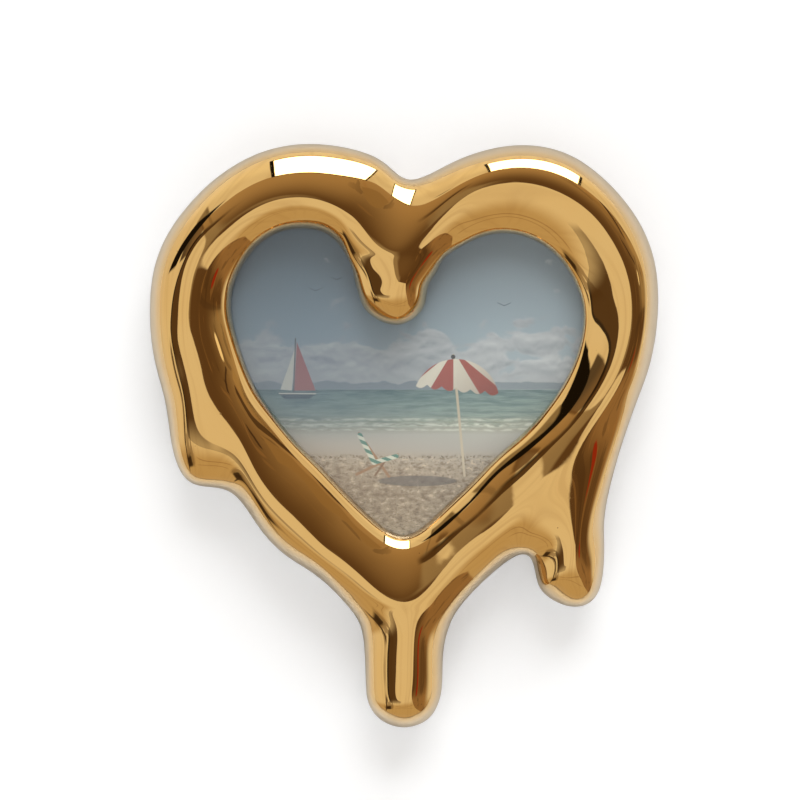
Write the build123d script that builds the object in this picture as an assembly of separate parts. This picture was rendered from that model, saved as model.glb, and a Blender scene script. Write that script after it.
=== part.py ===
from build123d import *
import math
import os

import numpy as np

os.makedirs("parts", exist_ok=True)

# Heart shaped photo frame with a melted look, hung on a wall. Millimetres.
# The front faces -Y and +Z is up. The origin is the middle of the keyhole hanger's
# round hole, on the back plane of the frame (y = 0). Depths are measured forward of it.

# Overall size
WIDTH = 205.0
HEIGHT = 235.0
DEPTH = 28.0

# Stack behind the opening, from the glass back to the felt
LIP_DEPTH = 13.0
GLASS_THICKNESS = 2.0
PRINT_THICKNESS = 0.3
CARD_THICKNESS = 2.0
BOARD_THICKNESS = 3.0
FELT_THICKNESS = 0.5
REBATE_STEP = 4.0
STACK_CLEARANCE = 0.5
PRINT_INSET = 0.5
FELT_INSET = 1.0
THUMB_RADIUS = 9.0

# Turn buttons that hold the board in
BUTTON_LENGTH = 14.0
BUTTON_WIDTH = 8.0
BUTTON_THICKNESS = 1.2
BUTTON_EASE = 0.1
BUTTON_EDGE = 0.3
PIVOT_SETBACK = 5.0
SWING_CLEARANCE = 0.5
SCREW_DIAMETER = 3.0
SCREW_CLEARANCE = 0.1
SCREW_LENGTH = 9.0
SCREW_HEAD_DIAMETER = 6.0
SCREW_HEAD_HEIGHT = 1.6
SCREW_HEAD_ROUNDING = 0.8
SCREW_SLOT_WIDTH = 0.8
SCREW_SLOT_DEPTH = 0.7

# Keyhole hanger let into the back
HANGER_RISE = 2.5
PLATE_WIDTH = 38.0
PLATE_ABOVE = 10.5
PLATE_BELOW = 6.0
PLATE_THICKNESS = 1.5
PLATE_CORNER = 4.0
PLATE_CLEARANCE = 0.1
KEYHOLE_DIAMETER = 8.5
KEYHOLE_SLOT = 4.2
KEYHOLE_RISE = 5.0
POCKET_MARGIN = 0.5
POCKET_DEPTH = 5.0
HANGER_SCREW_SPACING = 28.0
HANGER_SCREW_HEAD_HEIGHT = 1.3

# Pads that keep the back off the wall
PAD_DIAMETER = 9.0
PAD_THICKNESS = 1.5
PAD_EDGE = 0.4
PAD_SHARE = 0.52

OVERRUN = 1.0

# Section of the melted ring
INNER_SIDE_DEPTH = 19.0
EQUATOR_DEPTH = 12.5
BASE_INSET = 3.5
ROOT_LIFT = 0.25
SHOULDER_SHARE = 0.28
OUTER_RISE_SHARE = 0.69
DRIP_SHOULDER_SHARE = 0.30
TIP_SHOULDER_SHARE = 0.35
DRIP_RISE_SHARE = 0.66

# Stations round the ring, clockwise from the cleft, in shares of WIDTH and HEIGHT:
# inner x, inner z, outer x, outer z, how far across the crest lies, its height as a share
# of DEPTH, how far up to it the inner shoulder is, and what grows or is fixed there.
RING_SHARES = [
    (-0.020, -0.055, 0.010, 0.086, 0.25, 0.95, 0.62, "tongue"),
    (0.081, -0.045, 0.083, 0.111, 0.50, 0.96, 0.62, ""),
    (0.139, -0.015, 0.157, 0.136, 0.57, 0.98, 0.62, ""),
    (0.196, -0.005, 0.238, 0.145, 0.58, 0.99, 0.62, ""),
    (0.250, -0.015, 0.326, 0.127, 0.58, 0.99, 0.60, "button"),
    (0.297, -0.043, 0.403, 0.077, 0.60, 0.99, 0.56, ""),
    (0.332, -0.086, 0.462, 0.010, 0.59, 0.99, 0.50, "pad"),
    (0.350, -0.137, 0.493, -0.069, 0.60, 0.99, 0.46, ""),
    (0.344, -0.196, 0.495, -0.158, 0.63, 0.99, 0.45, ""),
    (0.318, -0.254, 0.477, -0.242, 0.61, 0.99, 0.46, "button"),
    (0.281, -0.302, 0.438, -0.334, 0.52, 0.98, 0.50, ""),
    (0.234, -0.348, 0.334, -0.463, 0.44, 0.98, 0.54, "right drip"),
    (0.181, -0.389, 0.228, -0.556, 0.54, 0.97, 0.56, ""),
    (0.128, -0.436, 0.175, -0.585, 0.54, 0.97, 0.56, "pad"),
    (0.071, -0.482, 0.114, -0.638, 0.52, 0.97, 0.58, ""),
    (0.000, -0.525, -0.002, -0.652, 0.75, 0.97, 0.58, "centre drip"),
    (-0.069, -0.492, -0.116, -0.640, 0.62, 0.97, 0.60, ""),
    (-0.122, -0.448, -0.173, -0.593, 0.68, 0.96, 0.62, ""),
    (-0.171, -0.403, -0.232, -0.559, 0.63, 0.96, 0.62, "pad"),
    (-0.214, -0.365, -0.281, -0.516, 0.63, 0.96, 0.62, ""),
    (-0.251, -0.326, -0.318, -0.470, 0.62, 0.96, 0.62, ""),
    (-0.285, -0.285, -0.361, -0.443, 0.50, 0.96, 0.62, ""),
    (-0.306, -0.250, -0.422, -0.432, 0.42, 0.96, 0.62, ""),
    (-0.322, -0.214, -0.456, -0.376, 0.47, 0.97, 0.62, ""),
    (-0.334, -0.178, -0.470, -0.300, 0.50, 0.98, 0.62, "button"),
    (-0.342, -0.141, -0.491, -0.226, 0.51, 1.00, 0.62, ""),
    (-0.338, -0.099, -0.501, -0.146, 0.50, 1.00, 0.62, ""),
    (-0.318, -0.058, -0.491, -0.062, 0.49, 1.00, 0.62, "pad"),
    (-0.289, -0.026, -0.452, 0.012, 0.46, 1.00, 0.62, ""),
    (-0.251, -0.005, -0.381, 0.081, 0.42, 0.99, 0.62, ""),
    (-0.206, 0.003, -0.293, 0.129, 0.39, 0.99, 0.62, "button"),
    (-0.161, -0.003, -0.198, 0.147, 0.37, 0.99, 0.62, ""),
    (-0.128, -0.026, -0.108, 0.139, 0.37, 0.98, 0.62, ""),
    (-0.106, -0.060, -0.041, 0.115, 0.38, 0.96, 0.62, ""),
]

# Drips, from the ring outwards: rows of first edge x, z, last edge x, z, how far across the
# crest lies and its height share, then the three points round the tip in the same order.
CENTRE_DRIP_SHARES = [
    (0.088, -0.678, -0.088, -0.678, 0.46, 0.97),
    (0.075, -0.724, -0.079, -0.724, 0.45, 0.95),
    (0.073, -0.775, -0.077, -0.775, 0.46, 0.93),
    (0.065, -0.811, -0.071, -0.811, 0.48, 0.91),
]
CENTRE_TIP_SHARES = [(0.043, -0.840), (-0.002, -0.852), (-0.047, -0.840)]
RIGHT_DRIP_SHARES = [
    (0.397, -0.463, 0.251, -0.571, 0.50, 0.94),
    (0.391, -0.540, 0.261, -0.604, 0.50, 0.91),
]
RIGHT_TIP_SHARES = [(0.380, -0.621), (0.330, -0.645), (0.282, -0.629)]
TONGUE_SHARES = [
    (-0.098, -0.082, 0.061, -0.072, 0.57, 0.99),
    (-0.088, -0.113, 0.043, -0.099, 0.58, 0.99),
]
TONGUE_TIP_SHARES = [(-0.068, -0.142), (-0.014, -0.161), (0.033, -0.134)]


def plan(x_share, z_share):
    """A point of the front view, in millimetres from the hanger's hole."""
    return np.array([x_share * WIDTH, z_share * HEIGHT - HANGER_RISE])


def spot(place, depth):
    """A point in space from a front view point and a depth forward of the back."""
    return np.array([place[0], -depth, place[1]])


def unit(vector):
    return vector / np.linalg.norm(vector)


def stations_with(feature):
    return [k for k, row in enumerate(RING_SHARES) if row[-1] == feature]


def ring_spots():
    """Where the skin should pass, by row and station."""
    spots = {}
    for k, (inner_x, inner_z, outer_x, outer_z, place, height, inner_rise, _) in enumerate(RING_SHARES):
        inner, outer = plan(inner_x, inner_z), plan(outer_x, outer_z)
        crest, top = inner + place * (outer - inner), height * DEPTH
        spots["lip", k] = spot(inner, LIP_DEPTH)
        spots["inner side", k] = spot(inner, INNER_SIDE_DEPTH)
        inner_shoulder = inner + SHOULDER_SHARE * (crest - inner)
        outer_shoulder = outer + SHOULDER_SHARE * (crest - outer)
        inner_top = INNER_SIDE_DEPTH + inner_rise * (top - INNER_SIDE_DEPTH)
        outer_top = EQUATOR_DEPTH + OUTER_RISE_SHARE * (top - EQUATOR_DEPTH)
        spots["inner shoulder", k] = spot(inner_shoulder, inner_top)
        spots["outer shoulder", k] = spot(outer_shoulder, outer_top)
        spots["crest", k] = spot(crest, top)
        spots["outer side", k] = spot(outer, EQUATOR_DEPTH)
        spots["base", k] = spot(outer - BASE_INSET * unit(outer - inner), 0.0)
    return spots


INNER_ROWS = ("inner shoulder", "inner side", "lip")
OUTER_ROWS = ("outer shoulder", "outer side", "base")


def finger_spots(name, rows, row_shares, tip_shares):
    """Where the skin of a drip should pass: its top, its side and its foot."""
    side_depth = INNER_SIDE_DEPTH if rows is INNER_ROWS else EQUATOR_DEPTH
    foot_depth = LIP_DEPTH if rows is INNER_ROWS else 0.0
    foot_inset = 0.0 if rows is INNER_ROWS else BASE_INSET
    spots = {}
    edges = []
    for j, (first_x, first_z, last_x, last_z, place, crest) in enumerate(row_shares):
        first, last = plan(first_x, first_z), plan(last_x, last_z)
        middle = first + place * (last - first)
        height = crest * DEPTH
        shoulder = side_depth + DRIP_RISE_SHARE * (height - side_depth)
        spots[name, "crest", j] = spot(middle, height)
        edges.append(("first", j, first, middle, shoulder))
        edges.append(("last", j, last, middle, shoulder))
    for side, (x_share, z_share) in zip(("first tip", "tip", "last tip"), tip_shares):
        edges.append((side, len(row_shares), plan(x_share, z_share), middle, shoulder))
    for side, j, edge, middle, shoulder in edges:
        inward = middle - edge
        top_share = TIP_SHOULDER_SHARE if "tip" in side else DRIP_SHOULDER_SHARE
        spots[name, side, "top", j] = spot(edge + top_share * inward, shoulder)
        spots[name, side, "side", j] = spot(edge, side_depth)
        spots[name, side, "foot", j] = spot(edge + foot_inset * unit(inward), foot_depth)
    return spots


def finger_loop(name, rows, level, station, stations, count):
    """Keys of one loop round a drip, from the station before it to the one after."""
    row = rows[("top", "side", "foot").index(level)]
    there = [(name, "first", level, j) for j in range(count)]
    round_tip = [(name, side, level, count) for side in ("first tip", "tip", "last tip")]
    back = [(name, "last", level, j) for j in reversed(range(count))]
    before, after = (row, (station - 1) % stations), (row, (station + 1) % stations)
    return [before, *there, *round_tip, *back, after]


def finger_quads(name, rows, station, stations, count):
    """The faces of one drip, which stand in for the ring's faces beside its station."""
    tops, sides, feet = (
        finger_loop(name, rows, level, station, stations, count) for level in ("top", "side", "foot")
    )
    quads = []
    for upper, lower in ((tops, sides), (sides, feet)):
        for k in range(len(upper) - 1):
            quads.append((upper[k], upper[k + 1], lower[k + 1], lower[k]))
    middles = [(rows[0], station), *((name, "crest", j) for j in range(count))]
    for k in range(count):
        quads.append((tops[k], middles[k], middles[k + 1], tops[k + 1]))
        quads.append((middles[k], tops[-1 - k], tops[-2 - k], middles[k + 1]))
    last = middles[-1]
    quads.append((tops[count], last, tops[count + 2], tops[count + 1]))
    quads.append((last, tops[count + 4], tops[count + 3], tops[count + 2]))
    return [quad[::-1] for quad in quads] if rows is OUTER_ROWS else quads


def melted_cage():
    """Spots that the skin passes near, and the four-sided faces between them."""
    stations = len(RING_SHARES)
    rows = ("lip", "inner side", "inner shoulder", "crest", "outer shoulder", "outer side", "base")
    spots = ring_spots()
    fingers = (
        ("tongue", INNER_ROWS, TONGUE_SHARES, TONGUE_TIP_SHARES),
        ("right drip", OUTER_ROWS, RIGHT_DRIP_SHARES, RIGHT_TIP_SHARES),
        ("centre drip", OUTER_ROWS, CENTRE_DRIP_SHARES, CENTRE_TIP_SHARES),
    )
    quads, hidden = [], set()
    for name, finger_rows, row_shares, tip_shares in fingers:
        (station,) = stations_with(name)
        count = len(row_shares)
        spots.update(finger_spots(name, finger_rows, row_shares, tip_shares))
        root, ridge = spots["crest", station], spots[name, "crest", 0]
        spots[finger_rows[0], station] = (root + ridge) / 2 - np.array([0, ROOT_LIFT, 0])
        quads += finger_quads(name, finger_rows, station, stations, count)
        hidden |= {(row, station) for row in finger_rows[1:]}
    for k in range(stations):
        after = (k + 1) % stations
        for low, high in zip(rows, rows[1:]):
            quad = ((low, k), (high, k), (high, after), (low, after))
            if not hidden & set(quad):
                quads.append(quad)
    used = {key for quad in quads for key in quad}
    return {key: spots[key] for key in spots if key in used}, quads


def neighbours(quads):
    """For each vertex, its edges' far ends, its faces' far corners, and whether it is on a rim."""
    edge_ends, corners, edge_faces = {}, {}, {}
    for quad in quads:
        for i, key in enumerate(quad):
            following, opposite = quad[(i + 1) % 4], quad[(i + 2) % 4]
            corners.setdefault(key, []).append(opposite)
            edge_ends.setdefault(key, set()).add(following)
            edge_ends.setdefault(following, set()).add(key)
            edge = frozenset((key, following))
            edge_faces[edge] = edge_faces.get(edge, 0) + 1
    rim = {}
    for edge, faces in edge_faces.items():
        if faces == 1:
            first, second = edge
            rim.setdefault(first, []).append(second)
            rim.setdefault(second, []).append(first)
    return edge_ends, corners, rim


def limit_point(key, cage, edge_ends, corners, rim):
    """Where the smooth skin passes, for one vertex of its cage."""
    if key in rim:
        return (4 * cage[key] + sum(cage[end] for end in rim[key])) / 6
    n = len(edge_ends[key])
    ends = sum(cage[end] for end in edge_ends[key])
    far = sum(cage[corner] for corner in corners[key])
    return (n * n * cage[key] + 4 * ends + far) / (n * (n + 5))


def fitted_cage(spots, quads, rounds=6):
    """Moves the cage until the smooth skin passes near the spots."""
    edge_ends, corners, rim = neighbours(quads)
    cage = dict(spots)
    for _ in range(rounds):
        limits = {key: limit_point(key, cage, edge_ends, corners, rim) for key in cage}
        cage = {key: cage[key] + spots[key] - limits[key] for key in cage}
    return cage


def skin_patches(cage, quads):
    """One bicubic patch per face of the cage, with shared edges."""
    edge_ends, corners, rim = neighbours(quads)
    limits = {key: limit_point(key, cage, edge_ends, corners, rim) for key in cage}
    inside = {}
    for number, quad in enumerate(quads):
        for i, key in enumerate(quad):
            following, far, before = (quad[(i + step) % 4] for step in (1, 2, 3))
            n = 4 if key in rim else len(edge_ends[key])
            total = n * cage[key] + 2 * cage[following] + 2 * cage[before] + cage[far]
            inside[number, key] = total / (n + 5)
    beside = {}
    for number, quad in enumerate(quads):
        for i, key in enumerate(quad):
            for end in (quad[(i + 1) % 4], quad[(i + 3) % 4]):
                beside.setdefault((key, end), []).append(inside[number, key])

    def edge_point(key, end):
        points = beside[key, end]
        if len(points) == 1:
            return (2 * cage[key] + cage[end]) / 3
        return sum(points) / len(points)

    patches = []
    for number, (a, b, c, d) in enumerate(quads):
        patches.append(
            [
                [limits[a], edge_point(a, b), edge_point(b, a), limits[b]],
                [edge_point(a, d), inside[number, a], inside[number, b], edge_point(b, c)],
                [edge_point(d, a), inside[number, d], inside[number, c], edge_point(c, b)],
                [limits[d], edge_point(d, c), edge_point(c, d), limits[c]],
            ]
        )
    return patches


def vectors(points):
    return [Vector(*(float(value) for value in point)) for point in points]


def rim_wire(cage, rim, start):
    """The closed edge of the skin that passes the given vertex."""
    loop, following = [start], rim[start][0]
    while following != start:
        loop.append(following)
        following = next(key for key in rim[following] if key != loop[-2])
    edges = []
    for i, key in enumerate(loop):
        before, after, beyond = loop[i - 1], loop[(i + 1) % len(loop)], loop[(i + 2) % len(loop)]
        first = (cage[before] + 4 * cage[key] + cage[after]) / 6
        last = (cage[key] + 4 * cage[after] + cage[beyond]) / 6
        handles = ((2 * cage[key] + cage[after]) / 3, (cage[key] + 2 * cage[after]) / 3)
        edges.append(Edge.make_bezier(*vectors((first, *handles, last))))
    return Wire(edges)


def inner_place(k):
    return plan(*RING_SHARES[k % len(RING_SHARES)][:2])


def outward(k):
    """Square to the opening's edge at a station, pointing into the ring."""
    along = inner_place(k + 1) - inner_place(k - 1)
    return unit(np.array([-along[1], along[0]]))


def heart_edge(step, depth):
    """The opening's edge without its tongue, moved out by a step, at a depth."""
    places = [inner_place(k) + step * outward(k) for k in range(len(RING_SHARES))]
    return Edge.make_spline(vectors(spot(place, depth) for place in places), periodic=True)


def heart_sheet(step, front, thickness):
    """A flat heart whose front is at a depth and whose back is a thickness nearer the wall."""
    return extrude(Face(Wire([heart_edge(step, front)])), amount=thickness, dir=(0, 1, 0))


def rod(place, diameter, front, back):
    """A round rod or hole square to the back, between two depths."""
    length = front - back
    middle = spot(place, (front + back) / 2)
    return Cylinder(diameter / 2, length, rotation=(90, 0, 0)).translate(Vector(*middle))


def pivot(k):
    """Where a turn button's screw goes, just outside the rebate."""
    return inner_place(k) + (REBATE_STEP + PIVOT_SETBACK) * outward(k)


STACK_BACK = LIP_DEPTH - GLASS_THICKNESS - PRINT_THICKNESS - CARD_THICKNESS - BOARD_THICKNESS - FELT_THICKNESS
BUTTON_REACH = BUTTON_LENGTH - BUTTON_WIDTH / 2
SWING_DIAMETER = 2 * (BUTTON_REACH + SWING_CLEARANCE)


def melted_body():
    """The cast resin heart: melted skin, flat back and the rebate behind the opening."""
    spots, quads = melted_cage()
    cage = fitted_cage(spots, quads)
    rim = neighbours(quads)[2]
    faces = []
    for patch in skin_patches(cage, quads):
        faces.append(Face.make_bezier_surface([vectors(row) for row in patch]))
    back_edge, floor_edge = heart_edge(REBATE_STEP, 0.0), heart_edge(REBATE_STEP, LIP_DEPTH)
    faces.append(Face(rim_wire(cage, rim, ("base", 1)), [Wire([back_edge])]))
    faces.append(Face(Wire([floor_edge]), [rim_wire(cage, rim, ("lip", 1))]))
    faces.append(Face.extrude(back_edge, (0, -LIP_DEPTH, 0)))
    return Solid(Shell(faces))


def backward_plane(place, depth, along=(1, 0)):
    """A plane at a depth that faces the wall, with its X axis along a front view direction."""
    x_dir = Vector(float(along[0]), 0, float(along[1]))
    return Plane(origin=Vector(*spot(place, depth)), x_dir=x_dir, z_dir=(0, 1, 0))


def clockwise(k):
    """Along the opening's edge at a station."""
    out = outward(k)
    return out[1], -out[0]


ORIGIN_PLACE = np.zeros(2)
PLATE_MIDDLE = np.array([0.0, (PLATE_ABOVE - PLATE_BELOW) / 2])
HANGER_SCREW_PLACES = [
    PLATE_MIDDLE + np.array([side * HANGER_SCREW_SPACING / 2, 0.0]) for side in (-1, 1)
]
BUTTON_BACK = STACK_BACK - BUTTON_EASE - BUTTON_THICKNESS


def plate_outline(grow):
    """The hanger plate's rounded outline, facing the wall."""
    width = PLATE_WIDTH + 2 * grow
    height = PLATE_ABOVE + PLATE_BELOW + 2 * grow
    return RectangleRounded(width, height, PLATE_CORNER + grow)


def keyhole_slot(width, rise):
    """A round-ended slot that runs from the round hole up to where the wall screw seats."""
    return Pos(0, rise / 2) * SlotCenterToCenter(rise, width, rotation=90)


def melted_frame():
    """The heart with its button recesses, hanger recess and screw holes."""
    body = melted_body()
    for k in stations_with("button"):
        body -= rod(pivot(k), SWING_DIAMETER, STACK_BACK, -OVERRUN)
        body -= rod(pivot(k), SCREW_DIAMETER + SCREW_CLEARANCE, BUTTON_BACK + SCREW_LENGTH, -OVERRUN)
    recess = backward_plane(PLATE_MIDDLE, PLATE_THICKNESS) * plate_outline(PLATE_CLEARANCE)
    body -= extrude(recess, amount=PLATE_THICKNESS + OVERRUN)
    pocket_width = KEYHOLE_DIAMETER + 2 * POCKET_MARGIN
    pocket_front = PLATE_THICKNESS + POCKET_DEPTH
    pocket = upright(ORIGIN_PLACE, pocket_front) * keyhole_slot(pocket_width, KEYHOLE_RISE)
    body -= extrude(pocket, amount=pocket_front)
    for place in HANGER_SCREW_PLACES:
        body -= rod(place, SCREW_DIAMETER + SCREW_CLEARANCE, SCREW_LENGTH, -OVERRUN)
    return body


def upright(place, depth):
    """A plane at a depth that faces the wall, with its Y axis up the frame."""
    return Plane(origin=Vector(*spot(place, depth)), x_dir=(-1, 0, 0), z_dir=(0, 1, 0))


def glass_pane():
    return heart_sheet(REBATE_STEP - STACK_CLEARANCE, LIP_DEPTH, GLASS_THICKNESS)


def photo_print():
    front = LIP_DEPTH - GLASS_THICKNESS
    return heart_sheet(REBATE_STEP - STACK_CLEARANCE - PRINT_INSET, front, PRINT_THICKNESS)


def backing_card():
    front = LIP_DEPTH - GLASS_THICKNESS - PRINT_THICKNESS
    return heart_sheet(REBATE_STEP - STACK_CLEARANCE, front, CARD_THICKNESS)


def thumb_cut(radius, front, thickness):
    """The half-round bite that lets a thumb lift the board at the cleft."""
    place = inner_place(0) + REBATE_STEP * outward(0)
    return rod(place, 2 * radius, front + OVERRUN, front - thickness - OVERRUN)


def back_board():
    front = STACK_BACK + FELT_THICKNESS + BOARD_THICKNESS
    board = heart_sheet(REBATE_STEP - STACK_CLEARANCE, front, BOARD_THICKNESS)
    return board - thumb_cut(THUMB_RADIUS, front, BOARD_THICKNESS)


def board_felt():
    front = STACK_BACK + FELT_THICKNESS
    felt = heart_sheet(REBATE_STEP - STACK_CLEARANCE - FELT_INSET, front, FELT_THICKNESS)
    return felt - thumb_cut(THUMB_RADIUS + FELT_INSET, front, FELT_THICKNESS)


def turn_button(k):
    """A flat steel tongue on its screw, stored along the opening's edge."""
    plane = backward_plane(pivot(k), STACK_BACK - BUTTON_EASE, clockwise(k))
    tongue = Pos(BUTTON_LENGTH / 2 - BUTTON_WIDTH / 2, 0) * SlotOverall(BUTTON_LENGTH, BUTTON_WIDTH)
    hole = Circle(SCREW_DIAMETER / 2 + SCREW_CLEARANCE)
    button = extrude(plane * (tongue - hole), amount=BUTTON_THICKNESS)
    back_face = button.faces().sort_by(Axis.Y)[-1]
    return fillet(back_face.outer_wire().edges(), BUTTON_EDGE)


def screw(place, seat, head_height, along):
    """A round-headed wood screw whose head seats at a depth."""
    head = rod(place, SCREW_HEAD_DIAMETER, seat, seat - head_height)
    rim = head.edges().filter_by(GeomType.CIRCLE).sort_by(Axis.Y)[-1]
    head = fillet(rim, SCREW_HEAD_ROUNDING)
    slot = Rectangle(SCREW_HEAD_DIAMETER + OVERRUN, SCREW_SLOT_WIDTH)
    plane = backward_plane(place, seat - head_height + SCREW_SLOT_DEPTH, along)
    head -= extrude(plane * slot, amount=SCREW_SLOT_DEPTH + OVERRUN)
    point_start = seat + SCREW_LENGTH - SCREW_DIAMETER
    shank = rod(place, SCREW_DIAMETER, point_start, seat)
    point = Cone(SCREW_DIAMETER / 2, 0, SCREW_DIAMETER, rotation=(90, 0, 0))
    middle = spot(place, point_start + SCREW_DIAMETER / 2)
    return head + shank + point.translate(Vector(*middle))


def turn_button_screws():
    screws = [screw(pivot(k), BUTTON_BACK, SCREW_HEAD_HEIGHT, outward(k)) for k in stations_with("button")]
    return Compound(screws)


def hanger_plate():
    """Steel keyhole plate: the wall screw's head enters the hole and seats in the slot."""
    outline = upright(PLATE_MIDDLE, PLATE_THICKNESS) * plate_outline(0)
    keyhole = upright(ORIGIN_PLACE, PLATE_THICKNESS) * (
        Circle(KEYHOLE_DIAMETER / 2) + keyhole_slot(KEYHOLE_SLOT, KEYHOLE_RISE)
    )
    plate = extrude(outline, amount=PLATE_THICKNESS) - extrude(keyhole, amount=PLATE_THICKNESS)
    for place in HANGER_SCREW_PLACES:
        plate -= rod(place, SCREW_DIAMETER + SCREW_CLEARANCE, PLATE_THICKNESS + OVERRUN, -OVERRUN)
    return plate


def hanger_screws():
    along = (1, 1)
    return Compound([screw(place, 0.0, HANGER_SCREW_HEAD_HEIGHT, along) for place in HANGER_SCREW_PLACES])


def wall_pads():
    """Soft round pads on the flat back."""
    pads = []
    for k in stations_with("pad"):
        inner, outer = inner_place(k), plan(*RING_SHARES[k][2:4])
        place = inner + PAD_SHARE * (outer - inner)
        pad = rod(place, PAD_DIAMETER, 0.0, -PAD_THICKNESS)
        pads.append(fillet(pad.edges().filter_by(GeomType.CIRCLE).sort_by(Axis.Y)[-1], PAD_EDGE))
    return Compound(pads)


pieces = {
    "melted_frame": melted_frame(),
    "glass_pane": glass_pane(),
    "photo_print": photo_print(),
    "backing_card": backing_card(),
    "back_board": back_board(),
    "board_felt": board_felt(),
    "turn_button_screws": turn_button_screws(),
    "hanger_plate": hanger_plate(),
    "hanger_screws": hanger_screws(),
    "wall_pads": wall_pads(),
}
for number, k in enumerate(stations_with("button"), start=1):
    pieces[f"turn_button_{number}"] = turn_button(k)
for name, piece in pieces.items():
    export_step(piece, f"parts/{name}.step")
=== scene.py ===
"""Heart shaped photo frame with a melted gold rim: its finishes, picture, glass and studio."""

import math

import bmesh
import bpy
import numpy as np
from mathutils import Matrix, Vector, noise


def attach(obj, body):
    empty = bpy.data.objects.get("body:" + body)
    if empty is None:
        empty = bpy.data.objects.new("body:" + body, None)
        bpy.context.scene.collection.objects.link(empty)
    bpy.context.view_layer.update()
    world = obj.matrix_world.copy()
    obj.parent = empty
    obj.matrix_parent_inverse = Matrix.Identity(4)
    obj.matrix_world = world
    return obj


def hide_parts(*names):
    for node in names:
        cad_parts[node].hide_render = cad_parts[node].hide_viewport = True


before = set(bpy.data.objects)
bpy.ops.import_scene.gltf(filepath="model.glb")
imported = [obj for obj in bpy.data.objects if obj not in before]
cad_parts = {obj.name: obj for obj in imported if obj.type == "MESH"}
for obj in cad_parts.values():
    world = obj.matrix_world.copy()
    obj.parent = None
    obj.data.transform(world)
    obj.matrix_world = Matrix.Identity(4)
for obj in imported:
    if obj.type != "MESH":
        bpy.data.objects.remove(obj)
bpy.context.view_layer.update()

MM = 0.001

# Sizes of the construction, in metres
WIDTH = 205 * MM
HEIGHT = 235 * MM
DEPTH = 28 * MM
HANGER_RISE = 2.5 * MM
LIP_DEPTH = 13 * MM
INNER_SIDE_DEPTH = 19 * MM
EQUATOR_DEPTH = 12.5 * MM
BASE_INSET = 3.5 * MM
SHOULDER_SHARE = 0.28
OUTER_RISE_SHARE = 0.69
DRIP_SHOULDER_SHARE = 0.30
TIP_SHOULDER_SHARE = 0.35
DRIP_RISE_SHARE = 0.66
ROOT_LIFT = 0.25 * MM
REBATE_STEP = 4 * MM
STACK_CLEARANCE = 0.5 * MM
PRINT_INSET = 0.5 * MM
GLASS_THICKNESS = 2 * MM
PRINT_THICKNESS = 0.3 * MM
CARD_THICKNESS = 2 * MM
BOARD_THICKNESS = 3 * MM
FELT_THICKNESS = 0.5 * MM
PIVOT_SETBACK = 5 * MM
SWING_RADIUS = 10.5 * MM
PLATE_WIDTH = 38 * MM
PLATE_ABOVE = 10.5 * MM
PLATE_BELOW = 6 * MM
PLATE_THICKNESS = 1.5 * MM
PLATE_CORNER = 4 * MM
PLATE_CLEARANCE = 0.1 * MM
KEYHOLE_RISE = 5 * MM
POCKET_RADIUS = 4.75 * MM
POCKET_DEPTH = 6.5 * MM
PAD_THICKNESS = 1.5 * MM
OVERRUN = 1 * MM
HAIR_GAP = 0.04 * MM
GLASS_ARRIS = 0.3 * MM

# How finely the melted skin is divided, how it wanders (a depth, and the distance over which
# it comes and goes), and the turn in degrees from which an edge stays sharp
SKIN_LEVELS = 4
SWELLS = ((0.15 * MM, 21 * MM), (0.018 * MM, 9 * MM))
SHARP_TURN = 40

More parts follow.
